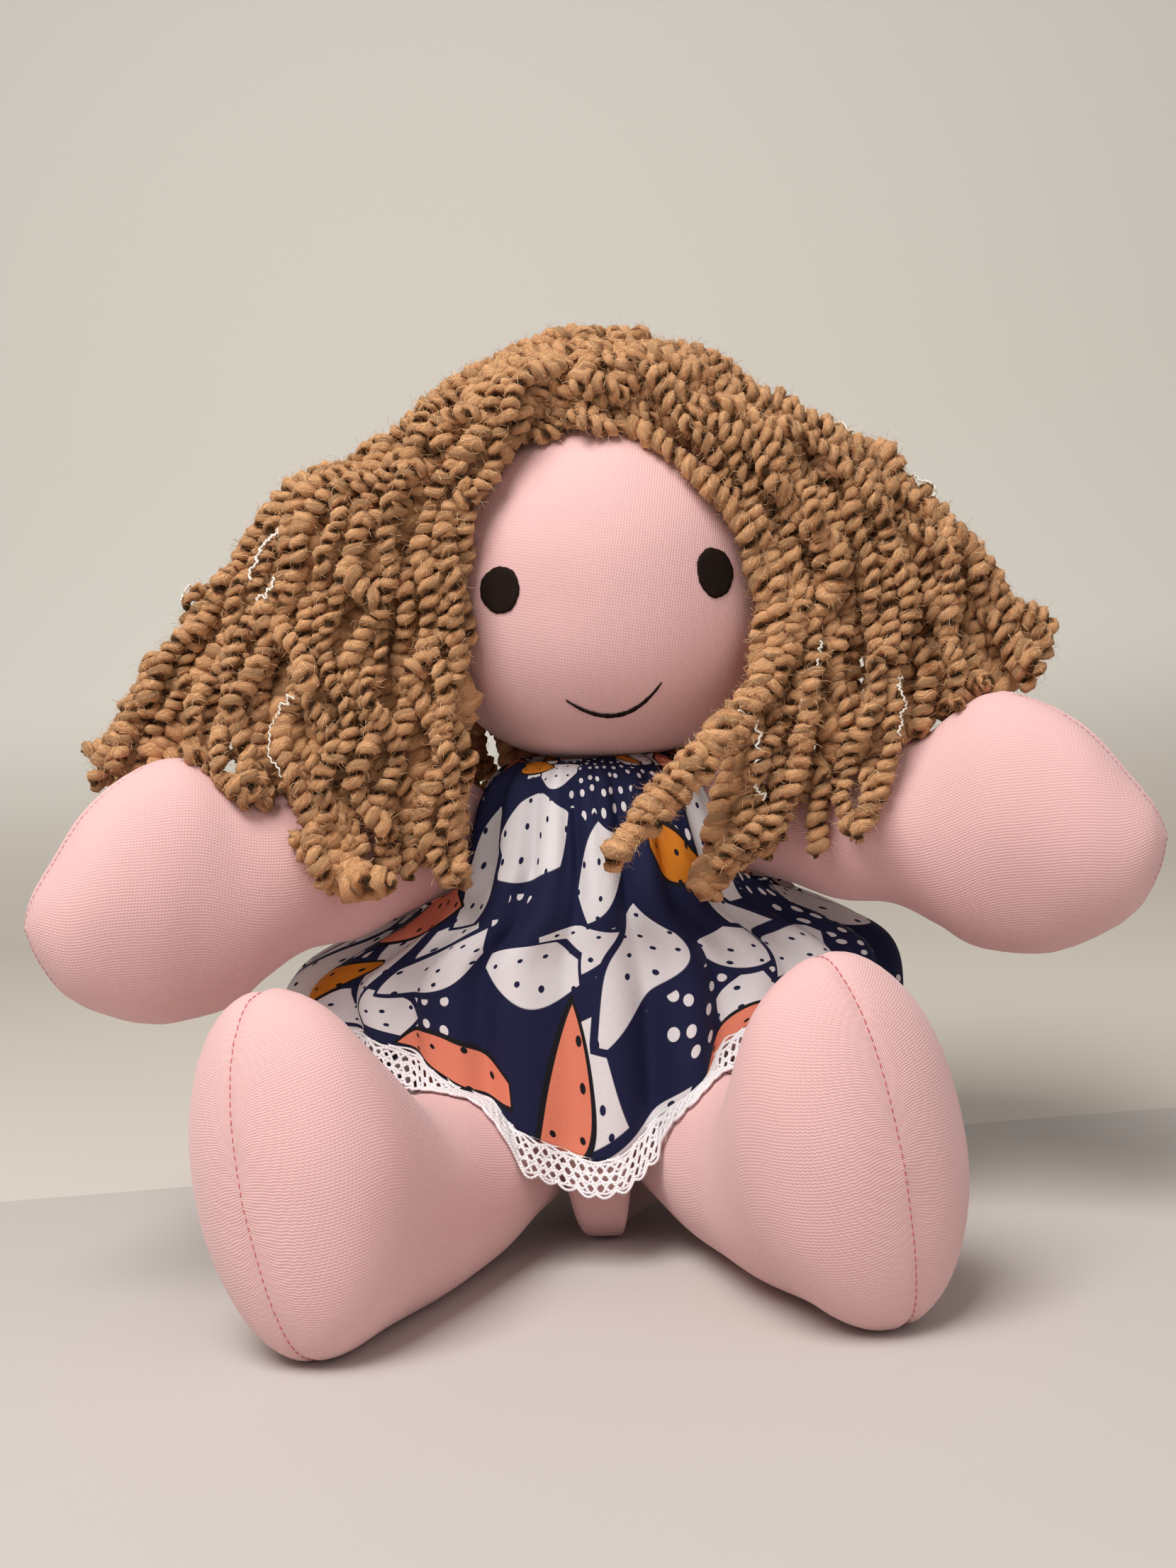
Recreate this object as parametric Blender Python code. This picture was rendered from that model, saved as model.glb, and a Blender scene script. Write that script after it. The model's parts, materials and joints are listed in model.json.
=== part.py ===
"""A seated rag doll: sewn knit panels over stuffing, a gathered dress with a lace hem, and yarn hair.

Metres, +Z up. The doll faces -Y and sits on Z = 0. Left and right are the doll's own, so its right
arm and leg are at -X. Each body part hangs from an empty on its joint's axis.
"""

import math

import bmesh
import bpy
from mathutils import Matrix, Vector

# Cloth, thread and the gaps between touching pieces
KNIT = 0.0012
COTTON = 0.0012
LACE = 0.0008
PIECE_GAP = 0.0003
STUFFING_GAP = 0.0005
SOCKET_GAP = 0.0006
HAIR_GAP = 0.0009
DRAPE_GAP = 0.0016
FLOOR_PRESS = 0.0005

# Torso
TORSO_HEIGHT = 0.151
TORSO_HALF_WIDTH = 0.050
TORSO_HALF_DEPTH = 0.035
TORSO_BACK = 0.045
SEAT_SET_BACK = 0.018
SEAT_FLAT_RADIUS = 0.014

# Neck
NECK_RADIUS = 0.017
NECK_OFFSET = 0.008
NECK_PIVOT_DEPTH = 0.004
NECK_INSET = 0.014

# Head
HEAD_HALF_WIDTH = 0.0585
HEAD_HALF_DEPTH = 0.055
HEAD_HALF_HEIGHT = 0.058
HEAD_OFFSET = 0.011
HEAD_FORWARD = 0.008
CHIN_GAP = 0.005

# Arms
SHOULDER_HEIGHT = 0.135
SHOULDER_HALF_SPACING = 0.050
SHOULDER_FORWARD = 0.011
SHOULDER_RADIUS = 0.020
ARM_REACH = 0.137
ARM_ABOVE = 0.034
ARM_BELOW = 0.048
ARM_HALF_THICKNESS = 0.023
ARM_FORWARD_ANGLE = math.radians(28)
ARM_RAISE = math.radians(4)
ARM_LOWER = math.radians(30)

# Legs
HIP_HEIGHT = 0.031
HIP_HALF_SPACING = 0.029
HIP_OFFSET = -0.005
HIP_FORWARD = 0.014
HIP_STAGGER = 0.003
HIP_RADIUS = 0.024
LEG_REACH = 0.138
TOE_ABOVE = 0.073
LEG_HALF_WIDTH = 0.033
RIGHT_LEG_SPLAY = math.radians(28)
LEFT_LEG_SPLAY = math.radians(22)
RIGHT_LEG_ROLL = math.radians(-9)
LEFT_LEG_ROLL = math.radians(6)
LEG_LIFT = math.radians(8)
LEG_DROP = math.radians(70)

# Face
EYE_SPACING = 0.0667
EYE_HALF_WIDTH = 0.0059
EYE_HALF_HEIGHT = 0.0078
EYE_BELOW_CENTRE = 0.002
EYE_MIDDLE_SHARE = 0.55
SMILE_HALF_WIDTH = 0.015
SMILE_DROP = 0.0075
SMILE_BELOW_CENTRE = 0.036
SMILE_TILT = math.radians(6)
SMILE_STROKE = 0.0013
SMILE_TAPER_SHARE = 0.6
PAINT = 0.0005

# Dress
NECKBAND_RADIUS = 0.0255
NECKBAND_HEIGHT = 0.007
NECKBAND_THICKNESS = 0.004
CHEST_HALF_WIDTH = 0.062
CHEST_HALF_DEPTH = 0.052
BACK_CHEST_DEPTH = 0.042
WAIST_HALF_WIDTH = 0.084
WAIST_HALF_DEPTH = 0.052
WAIST_HEIGHT = 0.090
HEM_HALF_WIDTH = 0.103
HEM_HALF_DEPTH = 0.058
FRONT_HEM_HEIGHT = 0.032
THIGH_HEM_RISE = 0.045
SIDE_HEM_HEIGHT = 0.072
BACK_HEM_HEIGHT = 0.015
BACK_WAIST_DEPTH = 0.043
BACK_HEM_DEPTH = 0.047
ARMHOLE_ANGLE = math.radians(49)
SIDE_SEAM_ANGLE = math.radians(88)
ARMHOLE_END_SHARE = 0.42
SIDE_SEAM_START_SHARE = 0.62
FOLD_DEPTH = 0.0042
FOLDS = 7
FRONT_LACE_SET = 0.0019
BACK_LACE_SET = 0.0008
LACE_WIDTH = 0.012
SCALLOP_DEPTH = 0.002
SCALLOPS = 22

# Hair
CROWN_THICKNESS = 0.026
BACK_CROWN_THICKNESS = 0.010
LOCK_THICKNESS = 0.011
HAIR_SPREAD = 0.150
HAIR_REACH = 0.061
HAIR_RISE = 0.060
HAIR_FALL = 0.104
LOCKS_IN_BUNCH = 12
LOCK_RIDGE = 0.0035
LOCK_STAGGER = 0.007
CROWN_LUMPS = 9
CROWN_LUMP = 0.0025

# Facets
LIMB_RINGS = 14
HEAD_RINGS = 14
TORSO_RINGS = 13
HALF_SEGMENTS = 8
DRESS_COLUMNS = 35
DRESS_ROWS = 9
LOCK_ROWS = 8
CROWN_ROWS = 6
CROWN_COLUMNS = 36
NECK_STEPS = 16
NECKBAND_STEPS = 26
NECKBAND_FACETS = 8
QUARTER_STEPS = 6
ROOM_SEGMENTS = 20
ROOM_RINGS = 12
EYE_FACETS = 16
SMILE_STEPS = 18
WELD = 0.000002

# Stuffed forms: along the form, one side, the other side and the half thickness, as shares of its sizes
ARM_SHARES = (
    (0.117, 0.545, 0.500, 0.913),
    (0.248, 0.560, 0.635, 0.957),
    (0.380, 0.590, 0.667, 0.978),
    (0.482, 0.650, 0.812, 0.978),
    (0.555, 0.838, 0.948, 0.978),
    (0.642, 1.000, 1.000, 1.000),
    (0.745, 0.882, 1.000, 0.978),
    (0.847, 0.588, 0.896, 0.870),
    (0.927, 0.176, 0.740, 0.652),
    (0.978, -0.118, 0.500, 0.370),
    (1.000, -0.382, 0.271, 0.000),
)
LEG_SHARES = (
    (0.130, 0.343, 0.840, 0.773),
    (0.275, 0.363, 0.968, 0.818),
    (0.420, 0.390, 1.000, 0.848),
    (0.550, 0.490, 1.000, 0.909),
    (0.667, 0.740, 1.000, 0.970),
    (0.768, 0.960, 1.000, 1.000),
    (0.841, 0.985, 1.000, 0.970),
    (0.905, 0.890, 0.940, 0.848),
    (0.953, 0.740, 0.720, 0.636),
    (0.986, 0.520, 0.200, 0.364),
    (1.000, 0.247, -0.571, 0.000),
)
TORSO_SHARES = (
    (0.020, 0.54, 0.54, 0.55, 0.97),
    (0.080, 0.82, 0.82, 0.78, 0.86),
    (0.200, 0.98, 0.98, 0.94, 0.66),
    (0.364, 1.00, 1.00, 1.00, 0.44),
    (0.563, 0.88, 0.88, 0.97, 0.28),
    (0.760, 0.80, 0.80, 0.92, 0.17),
    (0.887, 0.68, 0.68, 0.77, 0.08),
    (0.967, 0.44, 0.44, 0.51, 0.02),
    (1.000, 0.00, 0.00, 0.00, 0.00),
)

# Locks: guide strands from root to end, as shares of the hair's spread, reach, rise and fall
LEFT_LOCK_SHARES = (
    ((0.27, -0.63, 0.30), (0.33, -0.66, -0.13), (0.24, -0.76, -0.47), (0.00, -0.84, -0.78)),
    ((0.40, -0.66, 0.35), (0.44, -0.68, -0.14), (0.36, -0.76, -0.56), (0.28, -0.72, -0.94)),
    ((0.54, -0.55, 0.38), (0.62, -0.62, -0.09), (0.60, -0.76, -0.50), (0.55, -0.86, -0.80)),
    ((0.61, -0.28, 0.42), (0.77, -0.38, 0.00), (0.86, -0.46, -0.24), (0.91, -0.50, -0.38)),
    ((0.60, 0.40, 0.37), (0.76, 0.32, -0.06), (0.87, 0.16, -0.28), (0.92, 0.00, -0.40)),
)
RIGHT_LOCK_SHARES = (
    ((-0.27, -0.70, 0.37), (-0.31, -0.76, -0.09), (-0.33, -0.78, -0.47), (-0.36, -0.74, -0.85)),
    ((-0.42, -0.68, 0.42), (-0.49, -0.72, -0.09), (-0.51, -0.78, -0.47), (-0.50, -0.76, -0.80)),
    ((-0.59, -0.56, 0.42), (-0.69, -0.66, -0.09), (-0.70, -0.80, -0.42), (-0.68, -0.92, -0.72)),
    ((-0.67, -0.28, 0.45), (-0.88, -0.38, 0.00), (-1.02, -0.46, -0.24), (-1.10, -0.50, -0.40)),
    ((-0.67, 0.40, 0.37), (-0.87, 0.32, -0.06), (-1.02, 0.16, -0.27), (-1.09, 0.00, -0.38)),
)
BACK_LOCK_SHARES = (
    ((0.59, 0.48, 0.36), (0.75, 0.40, -0.07), (0.86, 0.24, -0.30), (0.91, 0.09, -0.44)),
    ((0.26, 0.97, 0.12), (0.34, 1.00, -0.30), (0.37, 0.98, -0.62), (0.38, 0.96, -0.84)),
    ((0.00, 1.02, 0.12), (-0.02, 1.03, -0.32), (-0.03, 1.02, -0.66), (-0.04, 1.01, -0.90)),
    ((-0.32, 0.97, 0.12), (-0.44, 1.00, -0.30), (-0.50, 0.98, -0.62), (-0.52, 0.96, -0.84)),
    ((-0.66, 0.48, 0.36), (-0.86, 0.40, -0.07), (-1.01, 0.24, -0.29), (-1.08, 0.09, -0.42)),
)
LEFT_ROOT_ANGLES = [math.radians(turn) for turn in (24, 44, 64, 86, 112)]
RIGHT_ROOT_ANGLES = [math.radians(turn) for turn in (-26, -44, -64, -86, -112)]
BACK_ROOT_ANGLES = [math.radians(turn) for turn in (115, 147, 180, 213, 245)]
FRONT_RIM_ANGLE = math.radians(36)
BACK_RIM_ANGLE = math.radians(60)
RIM_STEP = math.radians(0.7)

# Skirt front: how far up the hem rises at equal turns from the right side seam to the left, as shares
HEM_RISE_SHARES = (0.87, 0.97, 0.98, 0.96, 0.73, 0.29, 0.02, 0.48, 0.95, 1.00, 1.00, 0.97, 0.87)

# Derived places
FLOOR = 0.0
SHOULDER_LEFT = Vector((SHOULDER_HALF_SPACING, TORSO_BACK - SHOULDER_FORWARD, SHOULDER_HEIGHT))
SHOULDER_RIGHT = Vector((-SHOULDER_LEFT.x, SHOULDER_LEFT.y, SHOULDER_HEIGHT))
HIP_Y = TORSO_BACK - HIP_FORWARD
HIP_LEFT = Vector((HIP_OFFSET + HIP_HALF_SPACING, HIP_Y - HIP_STAGGER, HIP_HEIGHT))
HIP_RIGHT = Vector((HIP_OFFSET - HIP_HALF_SPACING, HIP_Y + HIP_STAGGER, HIP_HEIGHT))
NECK_PIVOT = Vector((NECK_OFFSET, TORSO_BACK, TORSO_HEIGHT - NECK_PIVOT_DEPTH))
HEAD_BASE = TORSO_HEIGHT + CHIN_GAP
HEAD_CENTRE = Vector((HEAD_OFFSET, TORSO_BACK - HEAD_FORWARD, HEAD_BASE + HEAD_HALF_HEIGHT))
HEAD_PIVOT = Vector((NECK_OFFSET, TORSO_BACK, HEAD_BASE + NECK_INSET))


def spline(points, at):
    """A Catmull-Rom curve through the points, at a place counted in points from the first."""
    last = len(points) - 1
    k = min(int(at), last - 1)
    t = at - k
    before, start, end, after = (points[min(max(k + step, 0), last)] for step in (-1, 0, 1, 2))
    return tuple(
        s + 0.5 * t * (e - b + t * (2 * b - 5 * s + 4 * e - a + t * (3 * (s - e) + a - b)))
        for b, s, e, a in zip(before, start, end, after)
    )


def lerp(table, at):
    """Straight steps between the rows of a table sorted by its first value."""
    for low, high in zip(table, table[1:]):
        if at <= high[0]:
            share = (at - low[0]) / (high[0] - low[0])
            return tuple(a + share * (b - a) for a, b in zip(low, high))
    return table[-1]


def smooth(share):
    """A rise from 0 to 1 with level ends."""
    share = min(max(share, 0), 1)
    return share * share * (3 - 2 * share)


class StuffedForm:
    """A closed cloth form around a line: rings of along, top, bottom, half thickness and drift."""

    def __init__(self, place, along, up, stations, rings):
        self.place = place
        self.along = along
        self.up = up
        self.side = up.cross(along)
        count = len(stations) - 1
        self.rings = [spline(stations, count * k / rings) for k in range(rings + 1)]
        self.rings[0] = stations[0]

    def ring_points(self, ring, inset, angles, side, gap):
        """Points of one ring on one side of its seam, drawn in by the inset."""
        first, last = self.rings[0][0], self.rings[-1][0]
        run, top, bottom, half, drift = ring
        run = min(max(run, first + inset), last - inset)
        middle = (top + bottom) / 2
        tall = max((top - bottom) / 2 - inset, 0)
        wide = max(half - inset, 0)
        points = []
        for angle in angles:
            out = max(wide * math.sin(angle), gap)
            spot = self.along * run + self.up * (middle + tall * math.cos(angle))
            points.append(self.place + spot + self.side * (drift + side * out))
        return points

    def half_grid(self, inset, side, gap):
        """Rings of one half of the form, from the upper seam round to the lower."""
        angles = [math.pi * k / HALF_SEGMENTS for k in range(HALF_SEGMENTS + 1)]
        return [self.ring_points(ring, inset, angles, side, gap) for ring in self.rings]

    def core_grid(self, inset):
        """Whole rings with half as many facets, for what fills the form."""
        angles = [2 * math.pi * k / HALF_SEGMENTS for k in range(HALF_SEGMENTS)]
        return [self.ring_points(ring, inset, angles, 1, -1) for ring in self.rings]

    def clear(self, point, gap):
        """The point, lifted off this form when it would lie in it or under its top."""
        away = point - self.place
        run, lift, aside = away.dot(self.along), away.dot(self.up), away.dot(self.side)
        if not self.rings[0][0] < run < self.rings[-1][0]:
            return point
        _, top, bottom, half, drift = lerp(self.rings, run)
        across = (aside - drift) / (half + gap) if half else 2
        if abs(across) >= 1:
            return point
        reach = (top - bottom) / 2 + gap
        surface = (top + bottom) / 2 + reach * math.sqrt(1 - across * across)
        floor = (top + bottom) / 2 - reach * math.sqrt(1 - across * across)
        if lift >= surface or lift < floor:
            return point
        return point + self.up * (surface - lift)


def round_root(radius):
    """Stations of a ball end about the joint, up to its widest ring."""
    turns = [math.radians(turn) for turn in (0, 28, 58, 90)]
    return [
        (-radius * math.cos(a), radius * math.sin(a), -radius * math.sin(a), radius * math.sin(a), 0)
        for a in turns
    ]


def arm_form(shoulder, outward):
    """A mitten arm: a ball shoulder, a thumb peak on top and a broad round hand."""
    stations = round_root(SHOULDER_RADIUS)
    for run, above, below, half in ARM_SHARES:
        row = (run * ARM_REACH, above * ARM_ABOVE, -below * ARM_BELOW, half * ARM_HALF_THICKNESS, 0)
        stations.append(row)
    along = Vector((outward * math.cos(ARM_FORWARD_ANGLE), -math.sin(ARM_FORWARD_ANGLE), 0))
    return StuffedForm(shoulder, along, Vector((0, 0, 1)), stations, LIMB_RINGS)


def leg_form(hip, outward, splay, roll):
    """A fat leg lying on its heel: a ball hip, a flat underside and a tall foot with its toe up."""
    below_hip = HIP_HEIGHT + FLOOR_PRESS
    stations = round_root(HIP_RADIUS)
    for run, above, below, half in LEG_SHARES:
        row = (run * LEG_REACH, above * TOE_ABOVE, -below * below_hip, half * LEG_HALF_WIDTH, 0)
        stations.append(row)
    along = Vector((outward * math.sin(splay), -math.cos(splay), 0))
    lean = Matrix.Rotation(outward * roll, 3, along) @ Vector((0, 0, 1))
    return StuffedForm(hip, along, lean, stations, LIMB_RINGS)


def torso_form():
    """A pear-shaped body whose seat is set back behind the hips."""
    seat = SEAT_FLAT_RADIUS
    depth = seat * TORSO_HALF_DEPTH / TORSO_HALF_WIDTH
    stations = [(-FLOOR_PRESS, 0, 0, 0, SEAT_SET_BACK), (FLOOR, seat, -seat, depth, SEAT_SET_BACK)]
    for run, right, left, half, back in TORSO_SHARES:
        wide = (right * TORSO_HALF_WIDTH, -left * TORSO_HALF_WIDTH)
        stations.append((run * TORSO_HEIGHT, *wide, half * TORSO_HALF_DEPTH, back * SEAT_SET_BACK))
    place = Vector((0, TORSO_BACK, 0))
    return StuffedForm(place, Vector((0, 0, 1)), Vector((1, 0, 0)), stations, TORSO_RINGS)


def head_form():
    """A ball head, sewn from a face panel and a back panel."""
    stations = []
    for k in range(HEAD_RINGS + 1):
        turn = math.pi * k / HEAD_RINGS
        wide = HEAD_HALF_WIDTH * math.sin(turn)
        depth = HEAD_HALF_DEPTH * math.sin(turn)
        stations.append((-HEAD_HALF_HEIGHT * math.cos(turn), wide, -wide, depth, 0))
    return StuffedForm(HEAD_CENTRE, Vector((0, 0, 1)), Vector((1, 0, 0)), stations, HEAD_RINGS)


def head_point(turn, polar, out):
    """A point over the head: turned from the face, at an angle from the top, and out from the cloth."""
    ball = Vector((math.sin(polar) * math.sin(turn), -math.sin(polar) * math.cos(turn), math.cos(polar)))
    sizes = (HEAD_HALF_WIDTH, HEAD_HALF_DEPTH, HEAD_HALF_HEIGHT)
    return HEAD_CENTRE + Vector([b * (size + out) for b, size in zip(ball, sizes)])


def face_point(x, z, out):
    """A point on the face panel, at x and z from the head's middle, and out from the cloth."""
    wide, tall = HEAD_HALF_WIDTH + out, HEAD_HALF_HEIGHT + out
    depth = (HEAD_HALF_DEPTH + out) * math.sqrt(1 - (x / wide) ** 2 - (z / tall) ** 2)
    return HEAD_CENTRE + Vector((x, -depth, z))


def mesh_object(name, bm, finish, owner):
    """A smooth-shaded object under its body's empty, from a mesh in world places."""
    bmesh.ops.remove_doubles(bm, verts=bm.verts, dist=WELD)
    bmesh.ops.dissolve_degenerate(bm, edges=bm.edges, dist=WELD)
    bmesh.ops.recalc_face_normals(bm, faces=bm.faces)
    bmesh.ops.translate(bm, verts=bm.verts, vec=-owner.matrix_world.translation)
    mesh = bpy.data.meshes.new(name)
    bm.to_mesh(mesh)
    bm.free()
    mesh.shade_smooth()
    obj = bpy.data.objects.new(name, mesh)
    bpy.context.collection.objects.link(obj)
    obj.parent = owner
    mesh.materials.append(finish)
    return obj


def add_grid(bm, rows, closed=False, flip=False):
    """Quads between rows of points, closed round when asked."""
    grid = [[bm.verts.new(point) for point in row] for row in rows]
    width = len(grid[0])
    for row, beyond in zip(grid, grid[1:]):
        for k in range(width if closed else width - 1):
            n = (k + 1) % width
            face = (row[k], row[n], beyond[n], beyond[k])
            bm.faces.new(face[::-1] if flip else face)


def closed_sheet(name, outer, inner, finish, owner):
    """One closed body between an outer and an inner grid of the same shape."""
    bm = bmesh.new()
    add_grid(bm, outer)
    add_grid(bm, inner, flip=True)
    add_grid(bm, [[row[0] for row in inner], [row[0] for row in outer]])
    add_grid(bm, [[row[-1] for row in outer], [row[-1] for row in inner]])
    add_grid(bm, [outer[0], inner[0]], flip=True)
    add_grid(bm, [outer[-1], inner[-1]])
    return mesh_object(name, bm, finish, owner)


def closed_ball(name, rings, finish, owner):
    """One closed body of whole rings whose end rings are points."""
    bm = bmesh.new()
    add_grid(bm, rings, closed=True)
    return mesh_object(name, bm, finish, owner)


def revolved(name, profile, centre, steps, finish, owner):
    """A turned body about a vertical axis, from radius and height pairs that run from axis to axis."""
    turns = [2 * math.pi * k / steps for k in range(steps)]
    rings = [
        [centre + Vector((r * math.cos(a), r * math.sin(a), z)) for a in turns] for r, z in profile
    ]
    return closed_ball(name, rings, finish, owner)


def skin_of(form, name, sides, finish, owner):
    """The two sewn panels of a form and the stuffing inside them."""
    made = []
    for side, label in zip((1, -1), sides):
        outer = form.half_grid(0, side, PIECE_GAP / 2)
        inner = form.half_grid(KNIT, side, PIECE_GAP / 2)
        made.append(closed_sheet(f"{name}_{label}_panel", outer, inner, finish, owner))
    core = form.core_grid(KNIT + STUFFING_GAP)
    made.append(closed_ball(f"{name}_stuffing", core, FINISHES["stuffing"], owner))
    return made


def hide(obj):
    """Leaves a cutter out of the doll."""
    obj.hide_render = True
    obj.display_type = "WIRE"
    return obj


def cutter(name, spots):
    """A hidden hull of balls, each a centre and a radius, to be cut from a stuffed form."""
    ball = bmesh.new()
    bmesh.ops.create_uvsphere(ball, u_segments=ROOM_SEGMENTS, v_segments=ROOM_RINGS, radius=1)
    unit = [vert.co.copy() for vert in ball.verts]
    ball.free()
    bm = bmesh.new()
    for centre, radius in spots:
        for point in unit:
            bm.verts.new(centre + point * radius)
    hull = bmesh.ops.convex_hull(bm, input=bm.verts)
    inside = [item for item in hull["geom_interior"] if isinstance(item, bmesh.types.BMVert)]
    bmesh.ops.delete(bm, geom=inside, context="VERTS")
    return hide(mesh_object(name, bm, FINISHES["stuffing"], BODIES["torso"]))


def swing_cutter(form, radius, spread, reach, raised, lowered):
    """The room a limb sweeps between its limits, as seen from its joint."""
    aside = form.along.cross(Vector((0, 0, 1)))
    spots = [(form.place, radius + SOCKET_GAP)]
    for turn in (raised, -lowered):
        way = Matrix.Rotation(turn, 3, aside) @ form.along
        spots.append((form.place + way * reach, radius + spread))
    return cutter("limb_room", spots)


def cut(obj, tool):
    """Takes the tool's room out of the object."""
    modifier = obj.modifiers.new("room", "BOOLEAN")
    modifier.operation = "DIFFERENCE"
    modifier.solver = "EXACT"
    modifier.object = tool


def slab_cutter():
    """Everything under the floor, so that stuffed undersides end flat on it."""
    bm = bmesh.new()
    wide = ARM_REACH + LEG_REACH
    size = Matrix.Diagonal((wide, wide, HIP_HEIGHT, 1)) @ Matrix.Scale(2, 4)
    bmesh.ops.create_cube(bm, size=1, matrix=Matrix.Translation((0, 0, -HIP_HEIGHT)) @ size)
    return hide(mesh_object("floor_room", bm, FINISHES["stuffing"], BODIES["torso"]))


def body(name, pivot, parent=None):
    """An empty on a joint's axis, which carries the pieces that turn with it."""
    empty = bpy.data.objects.new(name, None)
    bpy.context.collection.objects.link(empty)
    empty.location = pivot - parent.matrix_world.translation if parent else pivot
    empty.parent = parent
    bpy.context.view_layer.update()
    return empty


def finish(name, colour, roughness):
    """A Principled material of one colour."""
    material = bpy.data.materials.new(name)
    material.use_nodes = True
    shader = material.node_tree.nodes["Principled BSDF"]
    shader.inputs["Base Color"].default_value = (*colour, 1)
    shader.inputs["Roughness"].default_value = roughness
    shader.inputs["Metallic"].default_value = 0
    return material


def quarter_turn():
    """Equal turns from level to upright."""
    return [math.pi / 2 * k / QUARTER_STEPS for k in range(QUARTER_STEPS + 1)]


def neck():
    """A stuffed stub with a ball foot on the shoulders and a round top inside the head."""
    rise = HEAD_PIVOT.z - NECK_PIVOT.z
    foot = [(NECK_RADIUS * math.sin(a), -NECK_RADIUS * math.cos(a)) for a in quarter_turn()]
    top = [(NECK_RADIUS * math.cos(a), rise * (1 + math.sin(a)) / 2) for a in quarter_turn()]
    return revolved("neck", foot + top, NECK_PIVOT, NECK_STEPS, FINISHES["skin"], BODIES["neck"])


def neck_room():
    """The hollow in the head that the neck's top turns in."""
    radius = NECK_RADIUS + SOCKET_GAP
    top = HEAD_PIVOT.z - NECK_PIVOT.z + SOCKET_GAP
    middle = (HEAD_PIVOT.z - NECK_PIVOT.z) / 2
    profile = [(0, 0), (radius, 0)]
    profile += [(radius * math.cos(a), middle + (top - middle) * math.sin(a)) for a in quarter_turn()]
    room = revolved("neck_room", profile, NECK_PIVOT, NECK_STEPS, FINISHES["skin"], BODIES["torso"])
    return hide(room)


def stuffed_body(forms):
    """All stuffed forms with their panels, sockets and flat undersides."""
    floor = slab_cutter()
    torso = skin_of(forms["torso"], "torso", ("front", "back"), FINISHES["skin"], BODIES["torso"])
    rooms = [cutter("neck_socket", [(NECK_PIVOT, NECK_RADIUS + SOCKET_GAP)])]
    for side in ("left", "right"):
        arm, leg = forms[f"{side}_arm"], forms[f"{side}_leg"]
        arm_spread = ARM_BELOW - SHOULDER_RADIUS
        rooms.append(
            swing_cutter(arm, SHOULDER_RADIUS, arm_spread, ARM_REACH / 2, ARM_RAISE, ARM_LOWER)
        )
        leg_spread = HIP_RADIUS / 2
        rooms.append(swing_cutter(leg, HIP_RADIUS, leg_spread, LEG_REACH / 2, LEG_LIFT, LEG_DROP))
    for obj in torso:
        cut(obj, floor)
        for room in rooms:
            cut(obj, room)
    head = skin_of(forms["head"], "head", ("face", "back"), FINISHES["skin"], BODIES["head"])
    room = neck_room()
    for obj in head:
        cut(obj, room)
    neck()
    for side, labels in (("left", ("back", "front")), ("right", ("front", "back"))):
        skin_of(forms[f"{side}_arm"], f"{side}_arm", labels, FINISHES["skin"], BODIES[f"{side}_arm"])
    for side, labels in (("left", ("outer", "inner")), ("right", ("inner", "outer"))):
        leg = skin_of(forms[f"{side}_leg"], f"{side}_leg", labels, FINISHES["skin"], BODIES[f"{side}_leg"])
        for obj in leg:
            cut(obj, floor)


def eye(name, side):
    """A painted oval that follows the face's curve."""
    middle = side * EYE_SPACING / 2
    turns = [2 * math.pi * k / EYE_FACETS for k in range(EYE_FACETS)]
    shares = (0, EYE_MIDDLE_SHARE, 1)

    def disc(share, out):
        spots = [
            (
                middle + share * EYE_HALF_WIDTH * math.cos(a),
                -EYE_BELOW_CENTRE + share * EYE_HALF_HEIGHT * math.sin(a),
            )
            for a in turns
        ]
        return [face_point(x, z, out) for x, z in spots]

    low, high = PIECE_GAP, PIECE_GAP + PAINT
    rings = [disc(share, low) for share in shares] + [disc(share, high) for share in shares[::-1]]
    return closed_ball(name, rings, FINISHES["eye"], BODIES["head"])


def smile():
    """A thin painted line, curved up at its ends."""
    turn = Matrix.Rotation(SMILE_TILT, 2)
    lower, upper = [], []
    for k in range(SMILE_STEPS + 1):
        share = 2 * k / SMILE_STEPS - 1
        stroke = SMILE_STROKE / 2 * (1 - SMILE_TAPER_SHARE * abs(share) ** 3)
        middle = Vector((share * SMILE_HALF_WIDTH, SMILE_DROP * share * share))
        for row, lift in ((lower, -stroke), (upper, stroke)):
            spot = turn @ (middle + Vector((0, lift)))
            row.append((spot.x, spot.y - SMILE_BELOW_CENTRE - SMILE_DROP))
    outer, inner = (
        [[face_point(x, z, out) for x, z in row] for row in (lower, upper)]
        for out in (PIECE_GAP + PAINT, PIECE_GAP)
    )
    return closed_sheet("smile", outer, inner, FINISHES["eye"], BODIES["head"])


def hem_height(turn):
    """How high the skirt's edge lies, turned from the front centre."""
    turn = math.remainder(turn, 2 * math.pi)
    around = abs(turn)
    if around <= SIDE_SEAM_ANGLE:
        place = (turn / SIDE_SEAM_ANGLE + 1) * (len(HEM_RISE_SHARES) - 1) / 2
        rise = spline([(rise,) for rise in HEM_RISE_SHARES], place)[0]
        return FRONT_HEM_HEIGHT + rise * THIGH_HEM_RISE
    share = (around - SIDE_SEAM_ANGLE) / (math.pi - SIDE_SEAM_ANGLE)
    return SIDE_HEM_HEIGHT + (BACK_HEM_HEIGHT - SIDE_HEM_HEIGHT) * smooth(share)


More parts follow.
